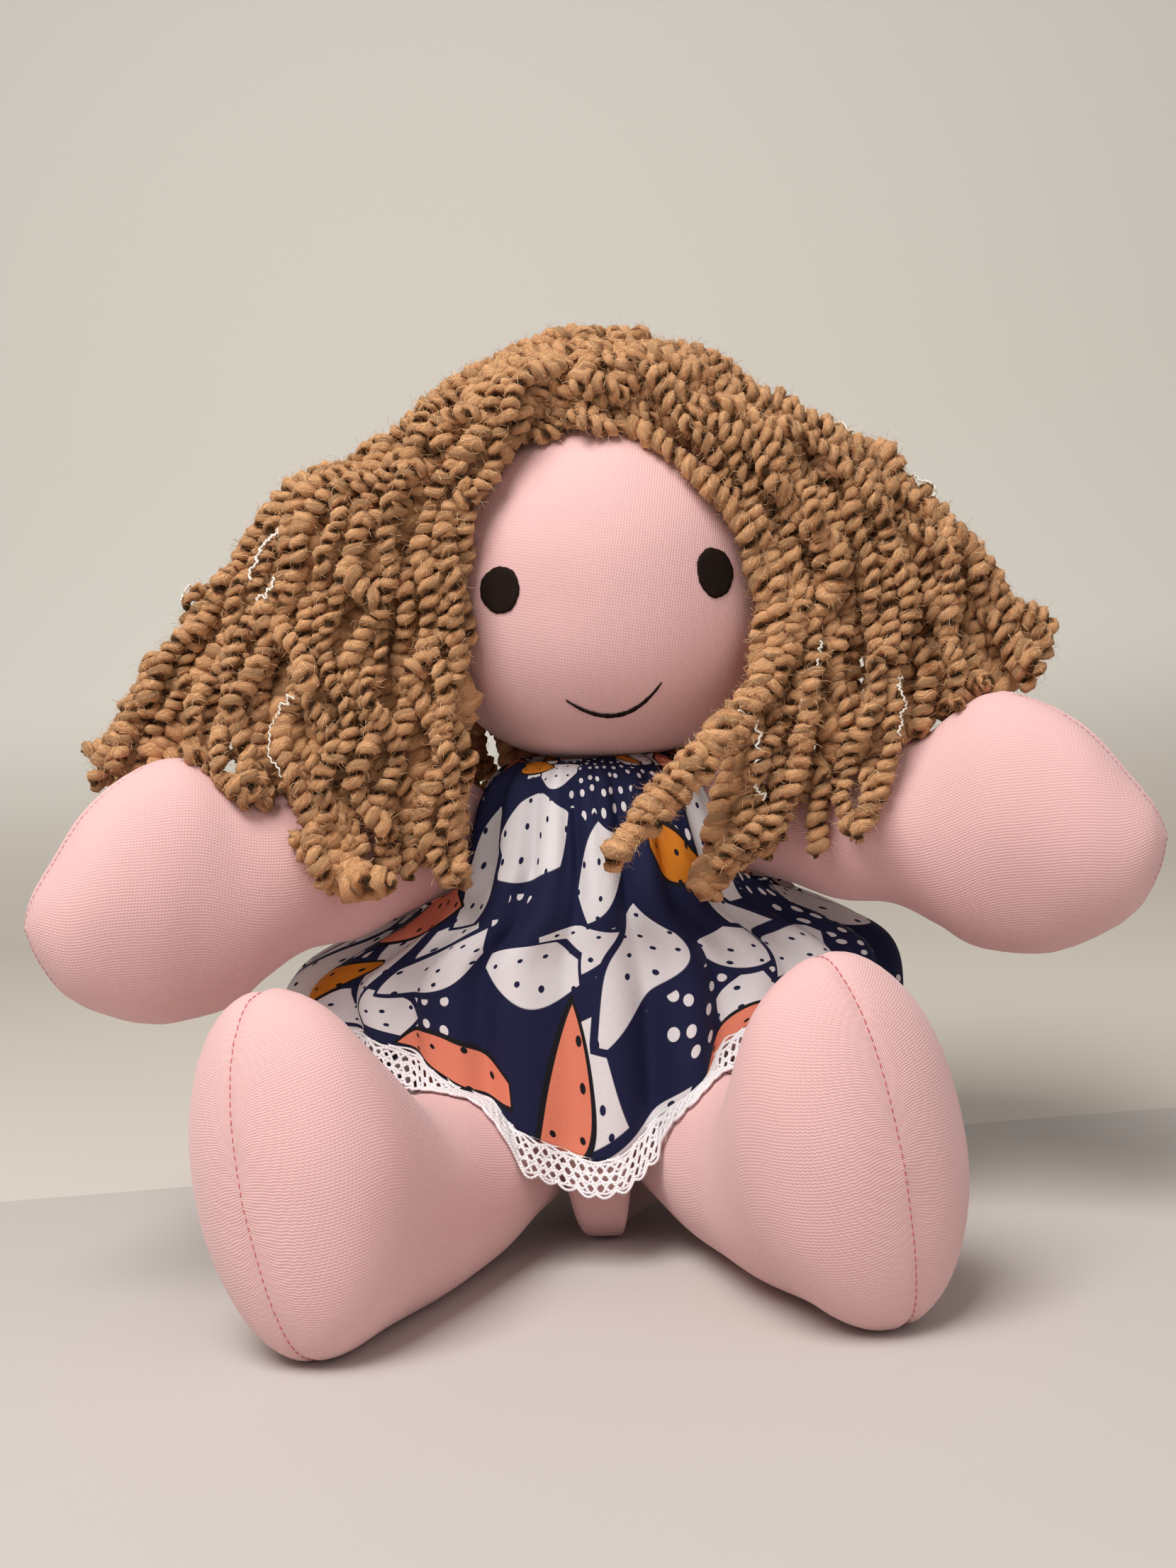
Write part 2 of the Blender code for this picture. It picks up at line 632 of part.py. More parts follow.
def dress_levels(turn):
    """Half width, half depth and height of the dress from its neckband to its hem."""
    top = neckband_base() + NECKBAND_HEIGHT / 2
    middle = (SHOULDER_HEIGHT + WAIST_HEIGHT) / 2
    shoulder = (top + SHOULDER_HEIGHT) / 2
    start = NECKBAND_RADIUS + NECKBAND_THICKNESS + PIECE_GAP + COTTON / 2
    chest, waist, hem = CHEST_HALF_DEPTH, WAIST_HALF_DEPTH, HEM_HALF_DEPTH
    if math.cos(turn) < 0:
        chest, waist, hem = BACK_CHEST_DEPTH, BACK_WAIST_DEPTH, BACK_HEM_DEPTH
    return (
        (start, start, top),
        ((start + CHEST_HALF_WIDTH) / 2, (start + chest) / 2, shoulder),
        (CHEST_HALF_WIDTH, chest, middle),
        (WAIST_HALF_WIDTH, waist, WAIST_HEIGHT),
        (HEM_HALF_WIDTH, hem, min(hem_height(turn), WAIST_HEIGHT - FOLD_DEPTH)),
    )


def neckband_base():
    """The height where the neckband sits on the shoulders."""
    return TORSO_HEIGHT - NECKBAND_HEIGHT / 2


def dress_point(turn, down, forms):
    """A point of the dress's middle surface, lifted clear of the thighs."""
    levels = dress_levels(turn)
    wide, deep, height = spline(levels, down * (len(levels) - 1))
    fold = FOLD_DEPTH * smooth(down) * math.cos(2 * FOLDS * turn)
    point = Vector(((wide + fold) * math.sin(turn), TORSO_BACK - (deep + fold) * math.cos(turn), height))
    for side in ("left", "right"):
        point = forms[f"{side}_leg"].clear(point, DRAPE_GAP + COTTON / 2)
    return point


def dress_turns(down, facing):
    """Turns of a row's columns: narrow beside the armholes, to the side seams below them."""
    open_share = smooth((down - ARMHOLE_END_SHARE) / (SIDE_SEAM_START_SHARE - ARMHOLE_END_SHARE))
    half = ARMHOLE_ANGLE + (SIDE_SEAM_ANGLE - ARMHOLE_ANGLE) * open_share
    middle = 0 if facing == "front" else math.pi
    return [middle + half * (2 * k / DRESS_COLUMNS - 1) for k in range(DRESS_COLUMNS + 1)]


def surface_offset(rows, distance):
    """The grid's points moved along its own normals."""
    moved = []
    for i, row in enumerate(rows):
        above, below = rows[max(i - 1, 0)], rows[min(i + 1, len(rows) - 1)]
        line = []
        for k, point in enumerate(row):
            across = row[min(k + 1, len(row) - 1)] - row[max(k - 1, 0)]
            normal = (below[k] - above[k]).cross(across).normalized()
            line.append(point + normal * distance)
        moved.append(line)
    return moved


def thick_sheet(name, rows, thickness, finish_name, owner):
    """A closed sheet of cloth around a middle grid."""
    outer = surface_offset(rows, thickness / 2)
    inner = surface_offset(rows, -thickness / 2)
    return closed_sheet(name, outer, inner, FINISHES[finish_name], owner)


def dress_panel(facing, forms):
    """One half of the dress, from the neckband to the hem."""
    rows = []
    for i in range(DRESS_ROWS + 1):
        down = i / DRESS_ROWS
        rows.append([dress_point(turn, down, forms) for turn in dress_turns(down, facing)])
    thick_sheet(f"dress_{facing}_panel", rows, COTTON, "cotton", BODIES["torso"])
    return rows


def lace_strip(facing, rows, forms):
    """Lace sewn below a panel's hem, with a scalloped edge."""
    hem, above = rows[-1], rows[-2]
    gap = FRONT_LACE_SET if facing == "front" else BACK_LACE_SET
    count = 2 * SCALLOPS
    top, middle, bottom = [], [], []
    for k in range(count + 1):
        place = k * DRESS_COLUMNS / count
        edge = Vector(spline([tuple(point) for point in hem], place))
        higher = Vector(spline([tuple(point) for point in above], place))
        way = (edge - higher).normalized()
        if facing == "front":
            outward = Vector((edge.x, edge.y - TORSO_BACK, 0)).normalized()
            way = (way + outward / 2).normalized()
        reach = LACE_WIDTH - (SCALLOP_DEPTH if k % 2 else 0)
        for row, share in ((top, 0), (middle, 0.5), (bottom, 1)):
            low = edge + way * (gap + (reach - gap) * share)
            low.z = max(low.z, FLOOR + 2 * LACE)
            for side in ("left", "right"):
                low = forms[f"{side}_leg"].clear(low, DRAPE_GAP + COTTON / 2)
            row.append(low)
    thick_sheet(f"{facing}_lace", [top, middle, bottom], LACE, "lace", BODIES["torso"])


def neckband():
    """The gathered casing at the dress's neck."""
    half = NECKBAND_THICKNESS / 2
    middle = NECKBAND_RADIUS + half
    centre = Vector((0, TORSO_BACK, neckband_base() + NECKBAND_HEIGHT / 2))
    bm = bmesh.new()
    rings = []
    for k in range(NECKBAND_FACETS + 1):
        turn = 2 * math.pi * k / NECKBAND_FACETS
        radius, height = middle + half * math.cos(turn), NECKBAND_HEIGHT / 2 * math.sin(turn)
        ring = []
        for step in range(NECKBAND_STEPS):
            a = 2 * math.pi * step / NECKBAND_STEPS
            ring.append(centre + Vector((radius * math.cos(a), radius * math.sin(a), height)))
        rings.append(ring)
    add_grid(bm, rings, closed=True)
    return mesh_object("dress_neckband", bm, FINISHES["cotton"], BODIES["torso"])


def rim_angle(turn):
    """How far down the crown of hair comes, from the forehead round to the nape."""
    return FRONT_RIM_ANGLE + (BACK_RIM_ANGLE - FRONT_RIM_ANGLE) * smooth(abs(turn) / math.pi)


def root_thickness(turn):
    """The depth of the piled yarn, which is thin at the back."""
    return CROWN_THICKNESS + (BACK_CROWN_THICKNESS - CROWN_THICKNESS) * smooth(2 * abs(turn) / math.pi - 1)


def crown():
    """The piled loops of yarn on top of the head."""
    def cap(out_at):
        rows = []
        for i in range(CROWN_ROWS + 1):
            row = []
            for k in range(CROWN_COLUMNS):
                turn = 2 * math.pi * k / CROWN_COLUMNS - math.pi
                polar = rim_angle(turn) * i / CROWN_ROWS
                row.append(head_point(turn, polar, out_at(turn, i)))
            rows.append(row)
        return rows

    def lumpy(turn, i):
        lump = CROWN_LUMP * math.cos(CROWN_LUMPS * turn) * math.sin(math.pi * i / 2)
        return HAIR_GAP + root_thickness(turn * i / CROWN_ROWS) + lump * i / CROWN_ROWS

    outer, inner = cap(lumpy), cap(lambda turn, i: HAIR_GAP)
    bm = bmesh.new()
    add_grid(bm, outer, closed=True)
    add_grid(bm, inner, closed=True, flip=True)
    add_grid(bm, [outer[-1], inner[-1]], closed=True)
    return mesh_object("hair_crown", bm, FINISHES["yarn"], BODIES["head"])


def lock_place(shares):
    """A guide point from its shares of the hair's sizes."""
    x, y, z = shares
    tall = HAIR_RISE if z > 0 else HAIR_FALL
    return HEAD_CENTRE + Vector((x * HAIR_SPREAD, y * HAIR_REACH, z * tall))


def bunch(name, guides, root_angles, forms):
    """A fan of yarn locks from the crown's rim down to uneven ends, ridged lock by lock."""
    columns = 2 * LOCKS_IN_BUNCH
    centre, half = [], []
    for i in range(LOCK_ROWS + 1):
        line, depth = [], []
        for k in range(columns + 1):
            across = k / columns * (len(guides) - 1)
            turn = math.remainder(spline([(a,) for a in root_angles], across)[0], 2 * math.pi)
            thick = root_thickness(turn)
            root = head_point(turn, rim_angle(turn) + RIM_STEP, HAIR_GAP + thick / 2)
            runs = [tuple(spline([tuple(lock_place(guide[j])) for guide in guides], across)) for j in range(4)]
            down = i / LOCK_ROWS * 4
            share = smooth(down)
            reach = (thick + (LOCK_THICKNESS - thick) * share) / 2
            point = Vector(spline([tuple(root), *runs], down))
            point = clear_of_head(point, reach + HAIR_GAP) if i else root
            if i == LOCK_ROWS and k % 2:
                point = point - (point - line_above[k]).normalized() * LOCK_STAGGER
            for side in ("left", "right"):
                point = forms[f"{side}_arm"].clear(point, reach + HAIR_GAP)
            line.append(point)
            depth.append(reach - LOCK_RIDGE * share * (k % 2))
        line_above = line
        centre.append(line)
        half.append(depth)
    outer, inner = [], []
    for side, rows in ((1, outer), (-1, inner)):
        unit = surface_offset(centre, 1)
        for i, row in enumerate(centre):
            line = []
            for k, point in enumerate(row):
                way = (point - HEAD_CENTRE).normalized() if not i else unit[i][k] - point
                if way.dot(point - HEAD_CENTRE) < 0:
                    way = -way
                line.append(point + way * side * half[i][k])
            rows.append(line)
    return closed_sheet(name, outer, inner, FINISHES["yarn"], BODIES["head"])


def clear_of_head(point, gap):
    """The point, moved out to stand the gap off the head's cloth."""
    away = point - HEAD_CENTRE
    sizes = (HEAD_HALF_WIDTH + gap, HEAD_HALF_DEPTH + gap, HEAD_HALF_HEIGHT + gap)
    depth = math.sqrt(sum((a / size) ** 2 for a, size in zip(away, sizes)))
    return HEAD_CENTRE + away / min(depth, 1)


def clear_scene():
    """Removes what the scene holds."""
    for obj in list(bpy.data.objects):
        bpy.data.objects.remove(obj, do_unlink=True)


clear_scene()
FINISHES = {
    "skin": finish("skin", (0.80, 0.46, 0.44), 0.85),
    "stuffing": finish("stuffing", (0.85, 0.84, 0.80), 0.95),
    "cotton": finish("cotton", (0.02, 0.03, 0.12), 0.8),
    "lace": finish("lace", (0.86, 0.84, 0.85), 0.8),
    "yarn": finish("yarn", (0.42, 0.24, 0.11), 0.95),
    "eye": finish("eye", (0.02, 0.01, 0.008), 0.6),
}
ORIGIN = Vector((0, 0, 0))
BODIES = {"torso": body("torso_frame", ORIGIN)}
BODIES["neck"] = body("neck_joint", NECK_PIVOT, BODIES["torso"])
BODIES["head"] = body("head_joint", HEAD_PIVOT, BODIES["neck"])
BODIES["left_arm"] = body("left_shoulder", SHOULDER_LEFT, BODIES["torso"])
BODIES["right_arm"] = body("right_shoulder", SHOULDER_RIGHT, BODIES["torso"])
BODIES["left_leg"] = body("left_hip", HIP_LEFT, BODIES["torso"])
BODIES["right_leg"] = body("right_hip", HIP_RIGHT, BODIES["torso"])
FORMS = {
    "torso": torso_form(),
    "head": head_form(),
    "left_arm": arm_form(SHOULDER_LEFT, 1),
    "right_arm": arm_form(SHOULDER_RIGHT, -1),
    "left_leg": leg_form(HIP_LEFT, 1, LEFT_LEG_SPLAY, LEFT_LEG_ROLL),
    "right_leg": leg_form(HIP_RIGHT, -1, RIGHT_LEG_SPLAY, RIGHT_LEG_ROLL),
}
stuffed_body(FORMS)
eye("left_eye", 1)
eye("right_eye", -1)
smile()
neckband()
for panel in ("front", "back"):
    lace_strip(panel, dress_panel(panel, FORMS), FORMS)
crown()
bunch("hair_left_locks", LEFT_LOCK_SHARES, LEFT_ROOT_ANGLES, FORMS)
bunch("hair_right_locks", RIGHT_LOCK_SHARES, RIGHT_ROOT_ANGLES, FORMS)
bunch("hair_back_locks", BACK_LOCK_SHARES, BACK_ROOT_ANGLES, FORMS)
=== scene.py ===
"""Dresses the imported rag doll: knit skin with sewn seams, a gathered printed dress, lace and boucle yarn hair.

Metres, +Z up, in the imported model's own frame. The doll faces -Y, and left and right are its own.
"""

from __future__ import annotations

import json
import logging
import math
from collections.abc import Callable, Sequence
from dataclasses import dataclass, field
from enum import Enum

import bmesh
import bpy
import numpy as np
from mathutils import Matrix, Vector

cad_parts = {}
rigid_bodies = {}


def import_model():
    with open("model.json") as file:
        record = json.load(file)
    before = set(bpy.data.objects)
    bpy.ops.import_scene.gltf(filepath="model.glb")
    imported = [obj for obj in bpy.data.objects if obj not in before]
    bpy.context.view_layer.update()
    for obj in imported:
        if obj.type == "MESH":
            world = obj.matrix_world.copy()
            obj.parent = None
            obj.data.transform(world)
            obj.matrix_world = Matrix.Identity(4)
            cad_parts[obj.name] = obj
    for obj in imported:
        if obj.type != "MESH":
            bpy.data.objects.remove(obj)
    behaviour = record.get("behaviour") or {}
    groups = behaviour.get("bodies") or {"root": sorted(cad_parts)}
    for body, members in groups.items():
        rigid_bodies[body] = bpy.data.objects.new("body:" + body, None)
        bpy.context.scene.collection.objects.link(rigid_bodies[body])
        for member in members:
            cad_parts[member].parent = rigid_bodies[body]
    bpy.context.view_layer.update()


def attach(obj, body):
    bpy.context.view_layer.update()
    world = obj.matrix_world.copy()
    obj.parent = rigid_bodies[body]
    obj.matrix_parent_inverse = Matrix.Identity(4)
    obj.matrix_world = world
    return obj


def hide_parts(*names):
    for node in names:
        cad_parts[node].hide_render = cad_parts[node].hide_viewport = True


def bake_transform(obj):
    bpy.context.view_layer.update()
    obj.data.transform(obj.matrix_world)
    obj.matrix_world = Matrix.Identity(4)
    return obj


Points = np.ndarray
Colour = tuple[float, float, float]
LOG = logging.getLogger("rag_doll")

MM = 0.001
SEED = 11
UP = np.array((0.0, 0.0, 1.0))


class Side(Enum):
    """The doll's own sides, as the sign of X."""

    LEFT = 1
    RIGHT = -1


class Facing(Enum):
    """Which way a panel of the dress looks."""

    FRONT = "front"
    BACK = "back"


# Node trees


class Value:
    """An output socket on which Python arithmetic adds Math nodes."""

    def __init__(self, builder: NodeBuilder, socket: bpy.types.NodeSocket) -> None:
        """Wraps a socket of the builder's tree."""
        self.builder = builder
        self.socket = socket

    def _math(self, operation: str, first: Operand, second: Operand = 0.0) -> Value:
        """A Math node on two operands."""
        return self.builder.value("ShaderNodeMath", {"operation": operation}, {0: first, 1: second})

    def __add__(self, other: Operand) -> Value:
        """Sum."""
        return self._math("ADD", self, other)

    def __radd__(self, other: Operand) -> Value:
        """Sum with a number on the left."""
        return self._math("ADD", other, self)

    def __sub__(self, other: Operand) -> Value:
        """Difference."""
        return self._math("SUBTRACT", self, other)

    def __rsub__(self, other: Operand) -> Value:
        """Difference from a number on the left."""
        return self._math("SUBTRACT", other, self)

    def __mul__(self, other: Operand) -> Value:
        """Product."""
        return self._math("MULTIPLY", self, other)

    def __rmul__(self, other: Operand) -> Value:
        """Product with a number on the left."""
        return self._math("MULTIPLY", other, self)

    def __truediv__(self, other: Operand) -> Value:
        """Quotient."""
        return self._math("DIVIDE", self, other)

    def __pow__(self, other: Operand) -> Value:
        """Power."""
        return self._math("POWER", self, other)

    def below(self, other: Operand) -> Value:
        """1 where this is less than the other."""
        return self._math("LESS_THAN", self, other)

    def above(self, other: Operand) -> Value:
        """1 where this is more than the other."""
        return self._math("GREATER_THAN", self, other)

    def at_least(self, other: Operand) -> Value:
        """The larger of the two."""
        return self._math("MAXIMUM", self, other)

    def sine(self) -> Value:
        """Sine of radians."""
        return self._math("SINE", self)

    def cosine(self) -> Value:
        """Cosine of radians."""
        return self._math("COSINE", self)

    def size(self) -> Value:
        """Absolute value."""
        return self._math("ABSOLUTE", self)

    def step(self, low: float, high: float) -> Value:
        """A soft rise from 0 at low to 1 at high."""
        settings = {"interpolation_type": "SMOOTHSTEP"}
        return self.builder.value("ShaderNodeMapRange", settings, {0: self, 1: low, 2: high})


Operand = Value | float


class NodeBuilder:
    """Adds nodes to one tree."""

    def __init__(self, tree: bpy.types.NodeTree) -> None:
        """Takes the tree to build in."""
        self.tree = tree

    def node(self, kind: str, settings: dict | None = None, sockets: dict | None = None) -> bpy.types.Node:
        """Adds one node.

        Args:
            kind: Blender's name of the node type.
            settings: the node's own properties, set first. A ramp's stops go in as "stops".
            sockets: input name or number, with a value or an output to link.

        Returns:
            The node.
        """
        made = self.tree.nodes.new(kind)
        for name, value in (settings or {}).items():
            if name == "stops":
                self._set_stops(made, value)
            else:
                setattr(made, name, value)
        for key, value in (sockets or {}).items():
            if isinstance(value, Value):
                self.tree.links.new(value.socket, made.inputs[key])
            else:
                made.inputs[key].default_value = value
        return made

    def value(
        self,
        kind: str,
        settings: dict | None = None,
        sockets: dict | None = None,
        output: int | str = 0,
    ) -> Value:
        """Adds one node and returns one of its outputs."""
        return Value(self, self.node(kind, settings, sockets).outputs[output])

    def _set_stops(self, ramp: bpy.types.Node, stops: Sequence[tuple[float, Colour]]) -> None:
        """Puts the stops into a colour ramp, in rising order."""
        elements = ramp.color_ramp.elements
        while len(elements) < len(stops):
            elements.new(1.0)
        for element, (place, colour) in zip(elements, stops):
            element.position = place
            element.color = (*colour, 1.0)

    def mix(self, share: Operand, first: Value | Colour, second: Value | Colour) -> Value:
        """A colour that goes from the first to the second with the share."""
        ends = [end if isinstance(end, Value) else (*end, 1.0) for end in (first, second)]
        return self.value("ShaderNodeMix", {"data_type": "RGBA"}, {0: share, 6: ends[0], 7: ends[1]}, 2)

    def noise(self, place: Value, scale: float, detail: float = 2.0, output: int | str = 0) -> Value:
        """A noise texture at a number of features to the metre."""
        return self.value("ShaderNodeTexNoise", None, {"Vector": place, "Scale": scale, "Detail": detail}, output)

    def vector(self, operation: str, first: Value | tuple, second: Value | tuple) -> Value:
        """A Vector Math node on two vectors."""
        return self.value("ShaderNodeVectorMath", {"operation": operation}, {0: first, 1: second})

    def parts(self, vector: Value) -> tuple[Value, Value, Value]:
        """The three parts of a vector."""
        made = self.node("ShaderNodeSeparateXYZ", None, {0: vector})
        return Value(self, made.outputs[0]), Value(self, made.outputs[1]), Value(self, made.outputs[2])

    def join(self, x: Operand, y: Operand, z: Operand = 0.0) -> Value:
        """A vector from three parts."""
        return self.value("ShaderNodeCombineXYZ", None, {0: x, 1: y, 2: z})


class MaterialMaker(NodeBuilder):
    """Builds one Principled material."""

    def __init__(self, name: str) -> None:
        """Starts an empty material of that name."""
        self.material = bpy.data.materials.new(name)
        self.material.use_nodes = True
        super().__init__(self.material.node_tree)
        self.tree.nodes.clear()

    def uv(self) -> Value:
        """The piece's own UV map, in metres."""
        return self.value("ShaderNodeUVMap", {"uv_map": "cloth"})

    def place(self) -> Value:
        """Object coordinates, in metres."""
        return self.value("ShaderNodeTexCoord", None, None, "Object")

    def attribute(self, name: str) -> Value:
        """A number kept on the mesh."""
        return self.value("ShaderNodeAttribute", {"attribute_name": name}, None, "Fac")

    def finish(
        self,
        colour: Value | Colour,
        roughness: Operand,
        height: Value | None = None,
        depth: float = 0.0,
        constants: dict[str, float | tuple] | None = None,
    ) -> bpy.types.Material:
        """Adds the shader and the output.

        Args:
            colour: base colour.
            roughness: roughness.
            height: relief from 0 to 1, if there is any.
            depth: the relief's depth in metres.
            constants: fixed values of other sockets.

        Returns:
            The material.
        """
        sockets: dict = {
            "Base Color": colour if isinstance(colour, Value) else (*colour, 1.0),
            "Roughness": roughness,
        }
        if height is not None:
            sockets["Normal"] = self.value("ShaderNodeBump", None, {"Distance": depth, "Height": height})
        sockets.update(constants or {})
        shader = self.value("ShaderNodeBsdfPrincipled", None, sockets)
        self.node("ShaderNodeOutputMaterial", None, {"Surface": shader})
        return self.material


# Finishes


@dataclass(frozen=True)
class KnitFinish:
    """Pink cotton interlock knit: fine slanted ribs of stitches, slightly uneven in tone, with painted shade in the
    grooves between them.
    """

    colour: Colour = (0.810, 0.500, 0.490)
    groove_shade_and_patch_colour: Colour = (0.670, 0.350, 0.340)
    course: float = 0.90 * MM
    wale: float = 0.95 * MM
    relief: float = 0.15 * MM

    def material(self) -> bpy.types.Material:
        """Builds the material on the panel's own cloth coordinates."""
        maker = MaterialMaker("pink_interlock_knit")
        wander = maker.noise(maker.uv(), 240.0, 1.0) * (0.4 * MM)
        across, along, _ = maker.parts(maker.uv())
        row = (across + wander + along * 0.22) * (2 * math.pi / self.course)
        stitch = (along * (2 * math.pi / self.wale)).size().sine()
        ribs = (row + stitch * 0.9).sine() * 0.5 + 0.5
        dimple = ((along - across * 0.22) * (2 * math.pi / self.wale)).sine() * 0.5 + 0.5
        relief = ribs * 0.7 + dimple * 0.3
        patchy = maker.noise(maker.place(), 26.0, 3.0)
        fuzz = maker.noise(maker.uv(), 2200.0, 2.0)
        # Painted shade: the knit's grooves, low in the relief, are mixed toward the darker colour; the patches and fuzz
        # add random tone on top.
        tone = (1.0 - relief) * 0.34 + (patchy - 0.5) * 0.35 + (fuzz - 0.5) * 0.22
        colour = maker.mix(tone.step(-0.1, 0.9), self.colour, self.groove_shade_and_patch_colour)
        height = relief * 0.8 + fuzz * 0.2
        gloss = {"Sheen Weight": 0.25, "Sheen Roughness": 0.5, "Specular IOR Level": 0.2}
        return maker.finish(colour, 0.86, height, self.relief, gloss)


@dataclass(frozen=True)
class SeamThread:
    """Sewing thread of one colour."""

    name: str
    colour: Colour

    def material(self) -> bpy.types.Material:
        """Builds the material with a fine twist, whose grooves are painted darker as shade."""
        maker = MaterialMaker(self.name)
        twist = maker.noise(maker.place(), 5200.0, 1.0)
        # Painted shade: the twist's low places, which the bump sinks, take the darker colour.
        groove_shade = tuple(part * 0.72 for part in self.colour)
        colour = maker.mix(twist.step(0.25, 0.75), groove_shade, self.colour)
        return maker.finish(colour, 0.6, twist, 0.05 * MM, {"Sheen Weight": 0.2})


@dataclass(frozen=True)
class LeafMotif:
    """One layer of scattered leaves in a print: sizes in metres, one leaf to a cell."""

    pitch: float
    half_length: float
    half_width: float
    shift: tuple[float, float, float] = (0.0, 0.0, 0.0)
    bend: float = 1.5
    gap: float = 1.7 * MM
    outline: float = 1.0 * MM

    def build(self, maker: MaterialMaker, place: Value) -> tuple[Value, Value, Value]:
        """Adds the layer.

        Returns:
            How far a point lies out from a leaf's midrib, 1 on its edge, and the leaf's two random numbers.
        """
        scale = (1 / self.pitch, 1 / self.pitch, 1.0)
        place = maker.vector("ADD", maker.vector("MULTIPLY", place, scale), self.shift)
        plan, sockets = {"voronoi_dimensions": "2D"}, {"Vector": place, "Scale": 1.0, "Randomness": 0.75}
        middle = maker.value("ShaderNodeTexVoronoi", plan, sockets, "Position")
        tint = maker.value("ShaderNodeTexVoronoi", plan, sockets, "Color")
        first, second, _ = maker.parts(tint)
        x, y, _ = maker.parts(maker.vector("SUBTRACT", place, middle))
        cos, sin = (first * 6.3).cosine(), (first * 6.3).sine()
        along, across = x * cos + y * sin, y * cos - x * sin
        across = across + (second - 0.5) * self.bend * along * along
        out = across.size() * (self.pitch / self.half_width) + (along * (self.pitch / self.half_length)) ** 2.0
        border = maker.value("ShaderNodeTexVoronoi", plan | {"feature": "DISTANCE_TO_EDGE"}, sockets)
        cut = 1.0 + (self.gap - border * self.pitch) / (5 * self.outline)
        return out.at_least(cut), first, second


@dataclass(frozen=True)
class PrintedCotton:
    """Plain-weave cotton with a generic print: bent leaves and dots on a navy ground."""

    navy: Colour = (0.0062, 0.0078, 0.040)
    pale: Colour = (0.700, 0.660, 0.670)
    coral: Colour = (0.700, 0.205, 0.125)
    orange: Colour = (0.560, 0.175, 0.008)
    black: Colour = (0.0045, 0.004, 0.006)
    under_leaf: LeafMotif = LeafMotif(44 * MM, 33 * MM, 12.5 * MM, (7.3, 2.6, 0.0), -1.6)
    pale_leaf: LeafMotif = LeafMotif(43 * MM, 31 * MM, 12.0 * MM)
    warm_leaf: LeafMotif = LeafMotif(56 * MM, 26 * MM, 11.5 * MM, (3.4, 7.7, 0.0), 2.2)
    dot_pitch: float = 9.5 * MM
    bare: float = 0.34
    weave: float = 0.6 * MM

    def warped(self, maker: MaterialMaker) -> Value:
        """Cloth coordinates bent a little, so that no motif is regular."""
        drift = maker.noise(maker.uv(), 16.0, 1.0, "Color")
        drift = maker.vector("MULTIPLY", maker.vector("SUBTRACT", drift, (0.5, 0.5, 0.5)), (0.03, 0.03, 0.0))
        return maker.vector("ADD", maker.uv(), drift)

    def dots(self, maker: MaterialMaker, pitch: float, radius: float) -> Value:
        """1 inside round dots set unevenly at about the pitch."""
        settings = {"voronoi_dimensions": "2D"}
        sockets = {"Vector": maker.uv(), "Scale": 1 / pitch, "Randomness": 0.5}
        distance = maker.value("ShaderNodeTexVoronoi", settings, sockets)
        return 1.0 - distance.step((radius - 0.12 * MM) / pitch, (radius + 0.12 * MM) / pitch)

    def material(self) -> bpy.types.Material:
        """Builds the material."""
        maker = MaterialMaker("printed_cotton")
        place = self.warped(maker)
        pale_out, _, pale_kind = self.pale_leaf.build(maker, place)
        warm_out, warm_turn, warm_kind = self.warm_leaf.build(maker, place)
        small = self.dots(maker, self.dot_pitch * 1.12, 1.05 * MM)
        large = self.dots(maker, self.dot_pitch * 0.86, 1.75 * MM)
        dotted = maker.noise(maker.uv(), 19.0, 0.0).above(0.50)
        colour = maker.mix(large * dotted, self.navy, self.pale)
        pale = maker.mix(small, self.pale, self.navy)
        under_out, _, under_kind = self.under_leaf.build(maker, place)
        for out, kind in ((under_out, under_kind), (pale_out, pale_kind)):
            shown = kind.above(self.bare)
            colour = maker.mix((1.0 - out.step(1.28, 1.32)) * shown, colour, self.navy)
            colour = maker.mix((1.0 - out.step(0.98, 1.02)) * shown, colour, pale)
        warm = maker.mix(warm_kind.above(0.64), self.coral, self.orange)
        warm = maker.mix(small, warm, self.black)
        warm = maker.mix(warm_out.step(0.80, 0.83), warm, self.black)
        shown = (1.0 - warm_out.step(0.98, 1.02)) * warm_turn.below(0.66)
        colour = maker.mix(shown, colour, warm)
        across, along, _ = maker.parts(maker.uv())
        threads = 2 * math.pi / self.weave
        weave = (across * threads).sine() * (along * threads).sine() * 0.5 + 0.5
        slub = maker.noise(maker.vector("MULTIPLY", maker.uv(), (1.0, 9.0, 1.0)), 300.0, 2.0)
        thread = maker.noise(maker.vector("MULTIPLY", maker.uv(), (9.0, 1.0, 1.0)), 300.0, 2.0)
        worn = (slub - 0.5) * 0.55 + (thread - 0.5) * 0.35 + weave * 0.12
        colour = maker.mix(worn, colour, maker.mix(0.35, colour, self.navy))
        height = weave * 0.4 + slub * 0.35 + thread * 0.25
        return maker.finish(colour, 0.8, height, 0.12 * MM, {"Specular IOR Level": 0.25})


@dataclass(frozen=True)
class CrochetCotton:
    """White mercerised cotton."""

    colour: Colour = (0.92, 0.89, 0.90)
    painted_shade: Colour = (0.74, 0.69, 0.71)

    def material(self) -> bpy.types.Material:
        """Builds the material with the thread's twist along it, and painted shade in its grooves."""
        maker = MaterialMaker("crochet_cotton")
        twist = (maker.attribute("run") * (2 * math.pi / (1.1 * MM)) + maker.attribute("around") * 12.0).sine()
        # Painted shade: the twist's grooves, low in the bump, take the darker colour.
        colour = maker.mix(twist.step(-1.0, 0.6), self.painted_shade, self.colour)
        return maker.finish(colour, 0.62, twist * 0.5 + 0.5, 0.09 * MM, {"Sheen Weight": 0.15})


